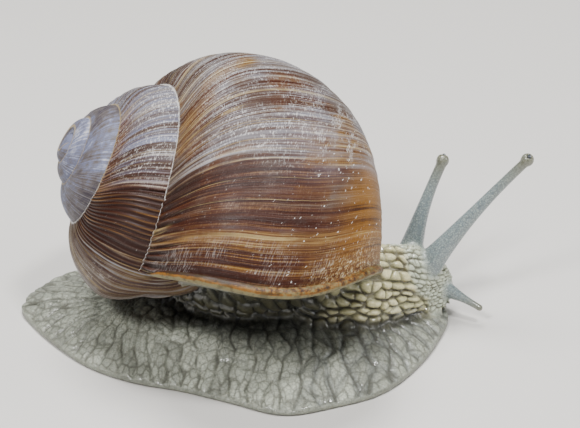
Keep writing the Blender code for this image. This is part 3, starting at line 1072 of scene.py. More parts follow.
@dataclass
class Skin:
    """One skin over all the solids of the flesh, with granules parted by grooves.

    The solids are swollen until the cuts between them close, joined by a voxel remesh, smoothed
    and drawn back. Granules are then raised on it, and each point keeps what the finish reads.
    The snail's own frame has its middle at the origin, and the head on the side of positive x.
    """

    origin: Vector
    body: tuple[str, ...] = ("foot_tail", "foot_middle", "foot_front", "trunk", "neck", "head")
    edge: tuple[str, ...] = ("mantle_collar",)
    stems: tuple[str, ...] = (
        "upper_feeler_right", "upper_feeler_left", "lower_feeler_right", "lower_feeler_left",
    )
    swell: float = 0.3
    stem_swell: float = 0.12
    voxel: float = 0.16
    smoothing: tuple[float, ...] = (*((0.6, -0.57) * 8), 0.5, 0.5)
    blur_rounds: int = 14
    blur_share: float = 0.8
    most_triangles: int = 192000
    rim_height: float = 0.8
    tip_share: float = 0.16
    tip_extra: float = 0.9
    foot_spine: Spine = Spine(
        Vector((-33.3, 3.2)), Vector((-6.0, -5.0)), Vector((19.4, 1.5)), (0.27, 0.77), 160
    )
    fan_radius: float = 9.0
    far_side: float = 200.0
    neck_spine: Spine = Spine(
        Vector((-1.0, -3.4)), Vector((9.6, -3.8)), Vector((19.4, 4.1)), (-0.5, 1.1), 120
    )
    neck_height: float = 4.5
    neck_radius: float = 5.2
    blocks: Beads = Beads(71, 1.75, 1.9, 0.6)
    small_blocks: Beads = Beads(77, 0.8, 0.82, 0.85)
    block_height: float = 0.16
    groove_depth: float = 0.12
    crack_depth: float = 0.06
    stretch: float = 9.0
    stretch_from: float = 6.0
    beads: Beads = Beads(83, 1.15, 1.5, 0.8, 0.2)
    small_beads: Beads = Beads(87, 0.72, 0.85, 0.75, 0.17)
    crease_depth: float = 0.22
    crease_span: tuple[Span, Span] = ((-8.0, -2.0), (18.0, 15.0))
    fold_span: tuple[Span, Span] = ((-15.0, -6.0), (16.0, 8.0))

    def nodes(self) -> tuple[str, ...]:
        """All the solids that the skin stands for."""
        return (*self.body, *self.edge, *self.stems)

    def build(self) -> bpy.types.Object:
        """Grow the skin and raise its granules.

        Returns:
            The skin.
        """
        solids = {name: self._copy(name) for name in self.nodes()}
        head = read_points(solids["head"]).mean(axis=0)
        tips = [self._tip(solids[name], head) for name in self.stems]
        feet = [name for name in self.body if name.startswith("foot")]
        near = {"body": ("trunk", "neck", "head"), "foot": feet, "trunk": ("trunk",)}
        near["stem"] = self.stems
        trees = {f"{part}_gap": self._tree(solids, *names)[0] for part, names in near.items()}
        tree, owner = self._tree(solids, *self.nodes())
        for name, solid in solids.items():
            self._swell(solid, self.stem_swell if name in self.stems else self.swell)
        skin, *others = solids.values()
        join(skin, *others)
        skin.name = skin.data.name = "skin_visual"
        apply_modifier(skin, "REMESH", mode="VOXEL", voxel_size=self.voxel * MM)
        LOG.info("skin: %d points after the remesh", len(skin.data.vertices))

        # Smoothing shrinks little, as each round evens the points out and then pushes them back.
        links = read_rows(skin.data.edges, "vertices", 2, np.int32)
        points = read_points(skin)
        for share in self.smoothing:
            points = self._even_out(points, links, share)
        parts = {"foot": feet, "stem": self.stems, "edge": self.edge, "trunk": ("trunk",)}
        masks = self._regions(points, tree, owner, links, parts)
        for name, part_tree in trees.items():
            masks[name] = np.array([part_tree.find_nearest(point)[3] for point in points.tolist()])
        ends = [notch(np.linalg.norm(points - tip, axis=1), reach) for tip, reach in tips]
        masks["tip"] = np.max(ends, axis=0)
        write_points(skin, points)
        back = blend(self.swell, self.stem_swell, masks["stem"])
        points = points - read_normals(skin) * back[:, None]
        write_points(skin, points)
        self._granulate(skin, points, masks)
        self._thin(skin)
        return skin

    @staticmethod
    def _copy(name: str) -> bpy.types.Object:
        """Copy a solid and merge its double points.

        Args:
            name: The solid's node.

        Returns:
            The copy.
        """
        source = bpy.data.objects[name]
        mesh = source.data.copy()
        work = bmesh.new()
        work.from_mesh(mesh)
        work.transform(source.matrix_world)
        bmesh.ops.remove_doubles(work, verts=work.verts, dist=1e-6)
        work.to_mesh(mesh)
        work.free()
        mesh.materials.clear()
        made = bpy.data.objects.new(name + "_copy", mesh)
        bpy.context.scene.collection.objects.link(made)
        return made

    @staticmethod
    def _tree(solids: dict[str, bpy.types.Object], *names: str) -> tuple[BVHTree, Array]:
        """Make a search tree of some solids' faces, in millimetres.

        Args:
            solids: All the solids.
            *names: Those that go into the tree.

        Returns:
            The tree, and the number of the solid that each face belongs to.
        """
        points, faces, owner = [], [], []
        for number, name in enumerate(names):
            start = len(points)
            points += [vert.co / MM for vert in solids[name].data.vertices]
            for face in solids[name].data.polygons:
                faces.append([start + index for index in face.vertices])
                owner.append(number)
        return BVHTree.FromPolygons(points, faces), np.array(owner)

    def _tip(self, stem: bpy.types.Object, middle: Array) -> tuple[Array, float]:
        """Find a feeler's end.

        Args:
            stem: The feeler's solid.
            middle: The middle of the head.

        Returns:
            The end, and how far its pale tip reaches.
        """
        points = read_points(stem)
        away = np.linalg.norm(points - middle, axis=1)
        return points[away.argmax()], self.tip_share * away.max() + self.tip_extra

    @staticmethod
    def _swell(solid: bpy.types.Object, by: float) -> None:
        """Move a solid's surface out.

        Args:
            solid: The solid's copy.
            by: Millimetres.
        """
        work = bmesh.new()
        work.from_mesh(solid.data)
        for vert in work.verts:
            vert.co += vert.normal * (min(vert.calc_shell_factor(), 2.0) * by * MM)
        work.to_mesh(solid.data)
        work.free()

    @staticmethod
    def _even_out(values: Array, links: Array, share: float) -> Array:
        """Move each point's values towards the mean of its neighbours'.

        Args:
            values: One row for each point.
            links: Both ends of every edge.
            share: How far they move; below 0 they move away.

        Returns:
            The new values.
        """
        size = len(values)
        count = np.bincount(links[:, 0], minlength=size) + np.bincount(links[:, 1], minlength=size)
        total = np.empty_like(values)
        for axis, column in enumerate(values.T):
            total[:, axis] = np.bincount(links[:, 0], column[links[:, 1]], size)
            total[:, axis] += np.bincount(links[:, 1], column[links[:, 0]], size)
        return values + (total / np.maximum(count, 1)[:, None] - values) * share

    def _regions(
        self, points: Array, tree: BVHTree, owner: Array, links: Array, parts: dict[str, Any]
    ) -> dict[str, Array]:
        """Find how much each point belongs to the parts of the body.

        Args:
            points: Points of the skin.
            tree: The search tree of all solids.
            owner: The number of the solid that each of its faces belongs to.
            links: Both ends of every edge.
            parts: The names of each part's solids.

        Returns:
            Numbers from 0 to 1 for each part.
        """
        solid = owner[[tree.find_nearest(point)[2] for point in points.tolist()]]
        members = [[self.nodes().index(name) for name in names] for names in parts.values()]
        masks = np.stack([np.isin(solid, numbers) for numbers in members], axis=1).astype(float)
        for _ in range(self.blur_rounds):
            masks = self._even_out(masks, links, self.blur_share)
        return dict(zip(parts, masks.T))

    def _foot_lines(self, own: Array) -> tuple[Array, Array]:
        """Find the foot's coordinates.

        Args:
            own: Points in the snail's own frame.

        Returns:
            Place along the foot's outline, fanning round both ends; and distance from its spine.
        """
        length, forward, side, inside = self.foot_spine.read(own[:, :2])
        fanned = np.arctan2(forward, np.abs(side)) * self.fan_radius
        along = length + np.where(inside, forward, fanned)
        return np.where(side > 0, along, self.far_side - along), np.hypot(forward, side)

    def _foot_relief(
        self, own: Array, along: Array, out: Array, margin: Array
    ) -> tuple[Array, ...]:
        """Lay out blocks in columns that fan out from the body to the rim.

        Args:
            own: Points in the snail's own frame.
            along: Place along the foot's outline.
            out: Distance from its spine.
            margin: Distance from its rim.

        Returns:
            Height; 1 on the blocks and 0 in the grooves; a random number for each block; and 1 in
            the broad valleys between the columns of the front.
        """
        x, y = own[:, 0], own[:, 1]
        along = along + 0.6 * soft_noise(61, x / 4.0, y / 4.0)
        along = along + 0.2 * soft_noise(65, x / 1.3, y / 1.3)
        down = self.stretch * np.log1p(out / self.stretch_from)
        down = down + 0.5 * soft_noise(62, x / 3.5, y / 3.5)
        side, end, tint = self.blocks.read(along, down)
        small_side, small_end, small_tint = self.small_blocks.read(along, down * 1.2)
        side, end = np.maximum(side, 0), np.maximum(end, 0)
        main = np.maximum(notch(side, 0.17), 0.7 * notch(end, 0.14))
        small = notch(np.maximum(np.minimum(small_side, small_end), 0), 0.12)
        dome = ease(0.0, 0.6, np.minimum(side, end))
        height = self.block_height * dome - self.groove_depth * main - self.crack_depth * small
        faint = 0.75 + 0.4 * soft_noise(68, x / 1.1, y / 1.1)
        near_rim = ease(4.5, 1.5, margin)
        groove = 1 - np.maximum(main * faint, small * (0.62 + 0.1 * near_rim))
        valley = np.maximum(notch(side, 0.4), 0.5 * notch(end, 0.3)) * ease(-4.0, 8.0, x)
        return height, groove, blend(tint, small_tint, 0.4), valley

    def _neck_relief(self, own: Array, near_stem: Array) -> tuple[Array, ...]:
        """Lay out beads on neck and head, smaller towards the feelers.

        Args:
            own: Points in the snail's own frame.
            near_stem: 1 beside the feelers, 0 away from them.

        Returns:
            Height; 1 on the beads and 0 in the grooves; a random number for each bead; and 1 on
            the beads' tops, 0 on their flanks.
        """
        length, forward, side, _ = self.neck_spine.read(own[:, :2])
        along = length + forward
        around = np.arctan2(own[:, 2] - self.neck_height, side) * self.neck_radius
        drift = 0.35 * soft_noise(63, along / 3, around / 3)
        faint = 0.75 + 0.5 * soft_noise(69, along / 0.9, around / 0.9)
        results = []
        for beads in (self.beads, self.small_beads):
            ripple = beads.width * 0.1
            right = around + along * 0.25 + drift
            right = right + ripple * soft_noise(64, along / 0.7, around / 0.7)
            down = along - drift + ripple * soft_noise(66, along / 0.7, around / 0.7)
            side, end, tint = beads.read(right, down)
            gap = np.maximum(np.minimum(side, end), 0)
            round_top = pillow(gap, beads.width * 0.42)
            lobes = 0.08 * soft_noise(67, along / 0.6, around / 0.5)
            height = beads.width * (0.62 * round_top + lobes * round_top - 0.4)
            groove = 1 - notch(gap, beads.width * 0.075) * np.clip(faint, 0, 1)
            results.append((height, groove, tint, round_top))
        return tuple(blend(big, little, near_stem) for big, little in zip(*results))

    def _painted_shade(self, x: Array, foot: Array, crease: Array, masks: dict[str, Array]) -> Array:
        """Find the shade painted under the shell, by the trunk and in the fold between body and
        foot.

        Args:
            x: Place along the body in the snail's own frame.
            foot: How much each point belongs to the foot.
            crease: 1 in the crease between foot and neck.
            masks: The regions, and the distances from parts of the body.

        Returns:
            Numbers from 0 to 1.
        """
        # Painted shade: dark in the fold beside the body, on and by the trunk, in the crease and
        # under the shell.
        reach = blend(1.3, 4.2, window(x, *self.fold_span))
        fold = blend(notch(masks["foot_gap"], 0.9), notch(masks["body_gap"], reach), foot)
        fold = fold * blend(0.0, 0.9, ease(17.0, 9.0, x)) * blend(0.3, 1.0, ease(-20.0, -9.0, x))
        lit = blend(1.0, 0.3, ease(1.5, 6.0, x) * (1 - foot))
        by_trunk = notch(masks["trunk_gap"], 2.2) * lit
        under_shell = ease(5.0, -2.0, x) * (1 - foot)
        layers = (
            fold * blend(0.55, 1.0, by_trunk), masks["trunk"] * lit, by_trunk, 0.75 * crease,
            under_shell,
        )
        return np.maximum.reduce(layers)

    def _granulate(self, skin: bpy.types.Object, points: Array, masks: dict[str, Array]) -> None:
        """Raise the granules and store what the finish reads.

        Args:
            skin: The smooth skin.
            points: Its points.
            masks: Its regions, and how far it is from parts of the body and the feelers' tips.
        """
        own = points - np.array(self.origin)
        x = own[:, 0]
        foot, stem = masks["foot"], masks["stem"]
        margin = self._rim_distance(points)
        near_stem = ease(3.3, 2.5, masks["stem_gap"])
        along, out = self._foot_lines(own)
        foot_height, foot_groove, foot_tint, valley = self._foot_relief(own, along, out, margin)
        neck_height, neck_groove, neck_tint, neck_top = self._neck_relief(own, near_stem)

        share = foot * (1 - stem)
        off_foot = blend(0.2, 1.0, ease(0.1, 0.7, masks["foot_gap"]))
        calm = (1 - stem) * (1 - masks["edge"]) * blend(off_foot, ease(0.1, 0.6, margin), foot)
        calm = calm * ease(0.25, 0.7, points[:, 2])
        # The crease between foot and neck is cut into the surface; the painted shade also darkens
        # it.
        crease = notch(masks["foot_gap"] - masks["body_gap"], 0.8)
        crease = crease * window(x, *self.crease_span) * (1 - stem)
        height = blend(neck_height, foot_height, share) * calm - self.crease_depth * crease
        points = points + read_normals(skin) * height[:, None]
        points[:, 2] = np.maximum(points[:, 2], 0.0)
        write_points(skin, points)
        # shade holds the painted shade; bead_top marks the beads' flanks, which the finish paints
        # darker as shade.
        write_numbers(
            skin,
            groove=blend(1.0, blend(neck_groove, foot_groove, share), calm),
            tint=blend(neck_tint, foot_tint, share),
            valley=valley * share * calm,
            bead_top=blend(1.0, neck_top, calm * (1 - share)),
            shade=self._painted_shade(x, foot, crease, masks) * (1 - stem),
            margin=margin,
            ends=np.maximum(ease(-14.0, -20.0, x), ease(5.0, 11.0, x)),
            along=along,
            out=out,
            beside_stem=near_stem,
            foot=foot,
            stem=stem,
            edge=masks["edge"],
            tip=masks["tip"],
        )

    def _rim_distance(self, points: Array) -> Array:
        """Find the distance to the rim of the foot.

        Args:
            points: Points of the skin.

        Returns:
            Millimetres from each point.
        """
        band = (points[:, 2] > self.rim_height * 0.35) & (points[:, 2] < self.rim_height * 0.65)
        rim = points[band][::3]
        tree = KDTree(len(rim))
        for number, point in enumerate(rim.tolist()):
            tree.insert(point, number)
        tree.balance()
        return np.array([tree.find(point)[2] for point in points.tolist()])

    def _thin(self, skin: bpy.types.Object) -> None:
        """Leave out triangles where the surface is plain.

        Args:
            skin: The finished skin.
        """
        triangles = sum(len(face.vertices) - 2 for face in skin.data.polygons)
        if triangles > self.most_triangles:
            apply_modifier(skin, "DECIMATE", ratio=self.most_triangles / triangles)
        skin.data.shade_smooth()


# Finishes --------------------------------------------------------------------------------------


def ink(red: int, green: int, blue: int) -> Colour:
    """Turn screen values from 0 to 255 into the linear numbers that a shader takes.

    Args:
        red: Red.
        green: Green.
        blue: Blue.

    Returns:
        The colour.
    """
    shares = [part / 255 for part in (red, green, blue)]
    return tuple(
        share / 12.92 if share <= 0.04045 else ((share + 0.055) / 1.055) ** 2.4 for share in shares
    )


class ShellMarks:
    """Where a place lies on the shell, and the patterns that the coats of its finish share.

    Growth runs across the growth lines, from the apex to the lip, and across runs down them from
    the suture, both in millimetres. Turns run up to 0 at the lip.
    """

    def __init__(self, mix: Recipe, zones: tuple[tuple[Span, ...], ...]) -> None:
        """Read the mesh's numbers and lay out the patterns.

        Args:
            mix: The material's recipe.
            zones: The broad bands of the spire, and those of the last turn.
        """
        growth, across, turn, share, rib = mix.attributes(
            "growth", "across", "turn", "share", "rib"
        )
        self.growth, self.across, self.turn, self.share, self.rib = growth, across, turn, share, rib
        line = growth + (mix.grain(growth * 0.12, across * 0.09, 5.0, 2.0) - 0.5) * 0.7
        self.bands = mix.grain(line * 0.45, across * 0.02, 0.0, 3.0, 0.6)
        self.streaks = mix.grain(line * 1.6, across * 0.025, 3.0, 4.0, 0.75)
        self.threads = mix.grain(line * 4.2, across * 0.05, 9.0, 3.0, 0.7)
        self.veins = mix.grain(line * 0.42, across * 0.003, 33.0, 2.0)
        self.hairs = mix.grain(growth * 2.2, across * 6.5, 7.0, 2.0, 0.65)
        self.hue = mix.grain(growth * 0.15, across * 0.13, 27.0, 3.0, 0.55)
        self.worn = mix.grain(growth * 0.13, across * 0.11, 17.0, 4.0, 0.6)
        self.flecks = mix.grain(growth * 1.8, across * 1.3, 21.0, 3.0, 0.7)
        self.upper = turn.ease(-0.04, -0.16)
        self.old = turn.ease(-1.03, -1.1)
        self.oldest = turn.ease(-1.6, -1.8)
        self.ribbed = turn.away(-0.985).ease(0.06, 0.04)
        self.outer = across.ease(12.0, 22.0) * turn.ease(-0.25, -0.12)

        self.zone = mix.mix(turn.ease(-0.81, -0.79), *(self._zone(mix, part) for part in zones))
        tone = (self.bands - 0.5) * 1.1 + (self.streaks - 0.5) * 1.1 + (self.threads - 0.5) * 1.3
        spirals = mix.grain(growth * 0.02, across * 0.4, 13.0, 2.0)
        # Ribs are made lighter, a painted highlight; the tone is also darker near the suture and
        # lighter on the outer side of the last turn, partly the shell's own tone and partly painted
        # light.
        tone = tone + self.zone + (spirals - 0.5) * 0.3 - across.ease(9.0, 2.0) * 0.06 + rib * 0.16
        self.tone = tone + across.ease(13.0, 22.0) * turn.ease(-0.22, -0.12) * 0.14
        # Pale crests along the growth lines, where the bump is highest: partly pale worn crests,
        # partly painted highlight.
        self.crest_and_glint = (self.threads + (self.hairs - 0.5) * 0.35).ease(0.56, 0.68)
        corner = (turn + (self.worn - 0.5) * 0.06).ease(-0.035, -0.015)
        self.corner = corner * across.ease(19.0, 25.0)

    def _zone(self, mix: Recipe, zones: tuple[Span, ...]) -> Value:
        """Find the lightness of the broad bands.

        Args:
            mix: The material's recipe.
            zones: The bands' turns and lightness.

        Returns:
            The lightness, from 0 to 1.
        """
        low, high = zones[0][0], zones[-1][0]
        stops = [((place - low) / (high - low), (light,) * 3) for place, light in zones]
        return mix.ramp((self.turn - low) / (high - low), *stops)


@dataclass(frozen=True)
class ShellFinish:
    """Worn skin of the shell: brown, golden and purple-grey stripes along the growth lines.

    Attributes:
        zones: (turns, lightness) of the broad bands on the spire, and of those on the last turn.
    """

    soot: Colour = ink(38, 13, 5)
    umber: Colour = ink(58, 25, 12)
    chestnut: Colour = ink(82, 50, 24)
    tan: Colour = ink(120, 90, 50)
    straw: Colour = ink(178, 156, 106)
    plum: Colour = ink(38, 20, 16)
    russet: Colour = ink(62, 44, 35)
    mauve: Colour = ink(96, 89, 86)
    lavender: Colour = ink(130, 134, 148)
    dusk: Colour = ink(62, 56, 64)
    slate: Colour = ink(104, 110, 138)
    khaki: Colour = ink(96, 78, 42)
    oxblood: Colour = ink(50, 20, 4)
    bronze: Colour = ink(110, 70, 34)
    amber: Colour = ink(140, 92, 4)
    gold: Colour = ink(118, 80, 12)
    bone: Colour = ink(218, 214, 210)
    zones: tuple[tuple[Span, ...], ...] = (
        (
            (-4.2, 0.52), (-1.80, 0.46), (-1.40, 0.62), (-1.15, 0.58), (-1.05, 0.42),
            (-1.025, 0.14), (-0.945, 0.12), (-0.925, 0.30), (-0.84, 0.34), (-0.80, 0.46),
        ),
        (
            (-0.80, 0.48), (-0.41, 0.46), (-0.385, 0.10), (-0.37, 0.10), (-0.355, 0.50),
            (-0.29, 0.56), (-0.24, 0.58), (-0.19, 0.58), (-0.17, 0.48), (-0.14, 0.48),
            (-0.12, 0.52), (-0.105, 0.22), (-0.085, 0.20), (-0.06, 0.20), (-0.045, 0.42),
            (-0.035, 0.22), (-0.012, 0.06), (0.0, 0.20),
        ),
    )

    def material(self) -> bpy.types.Material:
        """Build the material.

        Returns:
            The material.
        """
        mix = Recipe("shell", 0.42, Coat_Roughness=0.32, Specular_IOR_Level=0.2)
        at = ShellMarks(mix, self.zones)
        warm = mix.ramp(
            at.tone, (0.05, self.soot), (0.26, self.umber), (0.46, self.chestnut),
            (0.66, self.tan), (0.92, self.straw),
        )
        rubbed = (at.worn + at.upper * 0.08).ease(0.5, 0.66) * at.across.ease(1.0, 8.0)
        rubbed = rubbed * at.turn.ease(-0.09, -0.14) * (1 - at.ribbed)
        ticks = (at.hairs + (at.flecks - 0.5) * 0.8 + (at.threads - 0.5) * 0.5).ease(0.52, 0.72)
        chafed = ticks * (rubbed * 0.9 + at.old * 0.45 + 0.04)
        chafed = chafed * (1 - at.oldest) * at.turn.away(-0.97).ease(0.06, 0.12)
        chips = mix.grain(at.growth * 1.7, (at.across + at.growth * 0.5) * 3.2, 51.0, 2.0, 0.6)
        scratch = (chips + (at.flecks - 0.5) * 0.7 + at.outer * 0.04).ease(0.73, 0.79)
        scratch = scratch * (at.outer * 0.8 + 0.25)
        colour = mix.coats(
            warm,
            *self._stripes(mix, at),
            *self._spire(mix, at),
            *self._gold_and_grey(mix, at),
            (rubbed * at.tone.ease(0.3, 0.6) * 0.35, self.lavender),
            (chafed * 0.55, self.bone),
            (scratch * at.turn.ease(-1.6, -1.1), self.bone),
            *self._outer_edge(mix, at),
        )
        relief = at.streaks * 0.45 + at.threads * 0.35 + at.hairs * 0.2
        mix.bump(relief + at.corner * at.flecks * 0.6, 0.26)
        rough = 0.45 + chafed * 0.25 + scratch * 0.2 + at.oldest * 0.12 + (at.threads - 0.5) * 0.3
        gloss = 0.08 - chafed * 0.06 + at.rib.ease(0.2, 0.8) * 0.5 + at.crest_and_glint * 0.25
        return mix.finish(Base_Color=colour, Roughness=rough, Coat_Weight=gloss)

    def _stripes(self, mix: Recipe, at: ShellMarks) -> Coats:
        """Lay out the cool stripes, and fine crests and troughs along the growth lines; the crests
        are partly painted highlight.

        Args:
            mix: The material's recipe.
            at: The shell's patterns.

        Returns:
            The coats, from the lowest up.
        """
        cool = mix.ramp(
            at.tone, (0.05, self.plum), (0.36, self.russet), (0.60, self.mauve),
            (0.85, self.lavender),
        )
        cool_share = (at.hue + at.upper * 0.12 + (at.streaks - 0.5) * 0.5).ease(0.5, 0.66)
        cool_share = cool_share * at.turn.away(-0.96).ease(0.08, 0.16)
        crest_ink = mix.mix((at.hue + at.upper * 0.05).ease(0.47, 0.6), self.straw, self.bone)
        crest_ink = mix.mix(at.turn.ease(-0.16, -0.1), crest_ink, self.gold)
        trough = (at.threads + (at.hairs - 0.5) * 0.2).ease(0.44, 0.34)
        return [
            (cool_share * 0.8, cool),
            (at.old * 0.8, cool),
            (at.old * (at.bands + at.streaks).ease(0.9, 1.15) * 0.65, self.slate),
            (at.crest_and_glint * 0.36 * at.tone.ease(0.05, 0.4), crest_ink),
            (trough * 0.55, self.umber),
        ]

    def _spire(self, mix: Recipe, at: ShellMarks) -> Coats:
        """Lay out the spire's dark ribbed band, a golden strip above and a bleached base, with
        painted highlights on the ribs.

        Args:
            mix: The material's recipe.
            at: The shell's patterns.

        Returns:
            The coats, from the lowest up.
        """
        # Painted highlight: rib tops are made lighter here, in the golden strip and in the bleached
        # base.
        lights = at.rib * 0.4 + (at.threads - 0.5) * 0.9 + (at.bands - 0.5) * 0.8 + 0.28
        ribs = mix.ramp(
            lights, (0.18, self.soot), (0.46, self.oxblood), (0.72, self.gold), (1.0, self.straw)
        )
        above = at.turn.ease(-1.3, -1.2) * at.across.ease(3.2, 0.8) * at.turn.ease(-0.8, -1.0)
        lights = at.rib * 0.3 + (at.threads - 0.5) * 1.1 + (at.streaks - 0.5) * 1.2 + 0.36
        golden = mix.ramp(
            lights, (0.22, self.umber), (0.5, self.bronze), (0.82, self.straw), (1.0, self.bone)
        )
        below = at.turn.ease(-0.945, -0.925) * at.turn.ease(-0.8, -0.84)
        bleached = mix.ramp(
            at.tone + at.rib * 0.1 + (at.streaks - 0.5) * 0.6, (0.1, self.soot),
            (0.3, self.umber), (0.46, self.khaki), (0.64, self.mauve), (0.9, self.lavender),
        )
        golden_share = above * (1 - at.ribbed) * 0.7
        return [(at.ribbed * 0.9, ribs), (golden_share, golden), (below * 0.85, bleached)]

    def _gold_and_grey(self, mix: Recipe, at: ShellMarks) -> Coats:
        """Lay out gold, amber along the outer edge, pale veins and the grey of the first whorls.

        Args:
            mix: The material's recipe.
            at: The shell's patterns.

        Returns:
            The coats, from the lowest up.
        """
        rusty = (0.5 - at.hue).ease(0.04, 0.16) * at.across.ease(5.0, 14.0)
        rusty = rusty * (at.turn - at.across * 0.01).ease(-0.32, -0.26)
        glow = (at.across + (at.hue - 0.5) * 8.0).ease(20.0, 28.0) * at.turn.ease(-0.15, -0.09)
        vein = at.veins.away(0.5).ease(0.009, 0.003) * (at.worn + at.streaks).ease(0.85, 1.1)
        vein = vein * (1 - at.ribbed)
        mottle = mix.grain(at.growth * 0.9, at.across * 1.1, 41.0, 4.0, 0.7)
        shade = at.zone + (at.worn - 0.5) * 1.5 + (at.threads - 0.5) * 0.9 + (mottle - 0.5) * 0.8
        grey = mix.ramp(
            shade, (0.2, self.dusk), (0.4, self.mauve), (0.6, self.slate), (0.95, self.bone)
        )
        return [
            (rusty * at.tone.ease(0.2, 0.5) * 0.6 * (1 - at.old), self.gold),
            (glow * at.tone.ease(0.05, 0.4) * 0.75, self.amber),
            (vein * at.turn.ease(-1.5, -0.9) * 0.6, self.straw),
            (at.oldest * 0.9, grey),
        ]

    def _outer_edge(self, mix: Recipe, at: ShellMarks) -> Coats:
        """Lay out pale patches that are partly painted light, bleached blots, pale striae near the
        lip that are painted highlight, grit, and the suture's pale seam.

        Args:
            mix: The material's recipe.
            at: The shell's patterns.

        Returns:
            The coats, from the lowest up.
        """
        # The outer side of the last turn is made paler: partly worn, partly painted light.
        pale_wear_and_light = at.outer * at.turn.ease(-0.08, -0.13) * at.turn.ease(-0.28, -0.22)
        blots = mix.grain(at.growth * 0.3, at.across * 0.42, 71.0, 4.0, 0.7)
        blot = (blots + (at.hairs - 0.5) * 0.5).ease(0.56, 0.66) * at.outer
        # Painted highlight: pale striae near the lip stand in for the sheen on fine ribs.
        painted_rib_sheen = mix.grain(at.growth * 0.7, at.across * 7.0, 61.0, 2.0, 0.7).ease(0.5, 0.6)
        painted_rib_sheen = painted_rib_sheen * (at.hue + at.worn + (at.streaks - 0.5)).ease(0.9, 1.05)
        grit = mix.ramp(
            at.hairs + (at.flecks - 0.5), (0.35, self.umber), (0.5, self.bronze),
            (0.6, self.straw), (0.8, self.bone),
        )
        seam = (at.across + (at.threads - 0.5) * 0.9).ease(0.26, 0.08) * at.share.ease(0.2, 0.1)
        return [
            (pale_wear_and_light * (at.worn + at.streaks).ease(0.8, 1.1) * 0.5, self.lavender),
            (blot * at.turn.ease(-0.1, -0.14) * 0.6, self.bone),
            (painted_rib_sheen * at.turn.ease(-0.05, -0.03) * 0.16, self.bone),
            (at.corner * 0.65, grit),
            (seam * (0.85 - at.old * 0.25), mix.mix(at.old, self.bone, self.straw)),
        ]


@dataclass(frozen=True)
class LipFinish:
    """Brown as the shell above, amber along the fold and olive-cream below."""

    umber: Colour = ink(50, 26, 10)
    amber: Colour = ink(122, 80, 22)
    cream: Colour = ink(116, 106, 70)
    moss: Colour = ink(50, 42, 20)

    def material(self) -> bpy.types.Material:
        """Build the material.

        Returns:
            The material.
        """
        mix = Recipe("lip", 0.5, Coat_Roughness=0.3, Coat_Weight=0.05, Specular_IOR_Level=0.35)
        edge, along = mix.attributes("edge", "along")
        mottle = mix.noise(mix.place(), 1500.0, 4.0, 0.7)
        streaks = mix.grain(edge * 1.6, along * 22.0, 2.0, 4.0, 0.65)
        place = edge + (mottle - 0.5) * 0.9 + (streaks - 0.5) * 0.9
        fold = mix.ramp(
            place * 0.5 + 0.5,
            (0.24, self.umber), (0.36, self.amber), (0.55, self.amber), (0.62, self.cream),
        )
        grit = mix.ramp(
            mottle + (streaks - 0.5) * 0.6,
            (0.38, self.umber), (0.48, self.amber), (0.6, self.cream),
        )
        patch = mix.noise(mix.place(), 1100.0, 4.0, 0.7).ease(0.46, 0.58)
        colour = mix.coats(
            fold,
            (along.ease(0.2, 0.3) * edge.ease(0.3, -0.1) * 0.85, grit),
            (patch * 0.55, self.moss),
        )
        mix.bump(mottle * 0.5 + streaks * 0.5, 0.12)
        return mix.finish(Base_Color=colour)


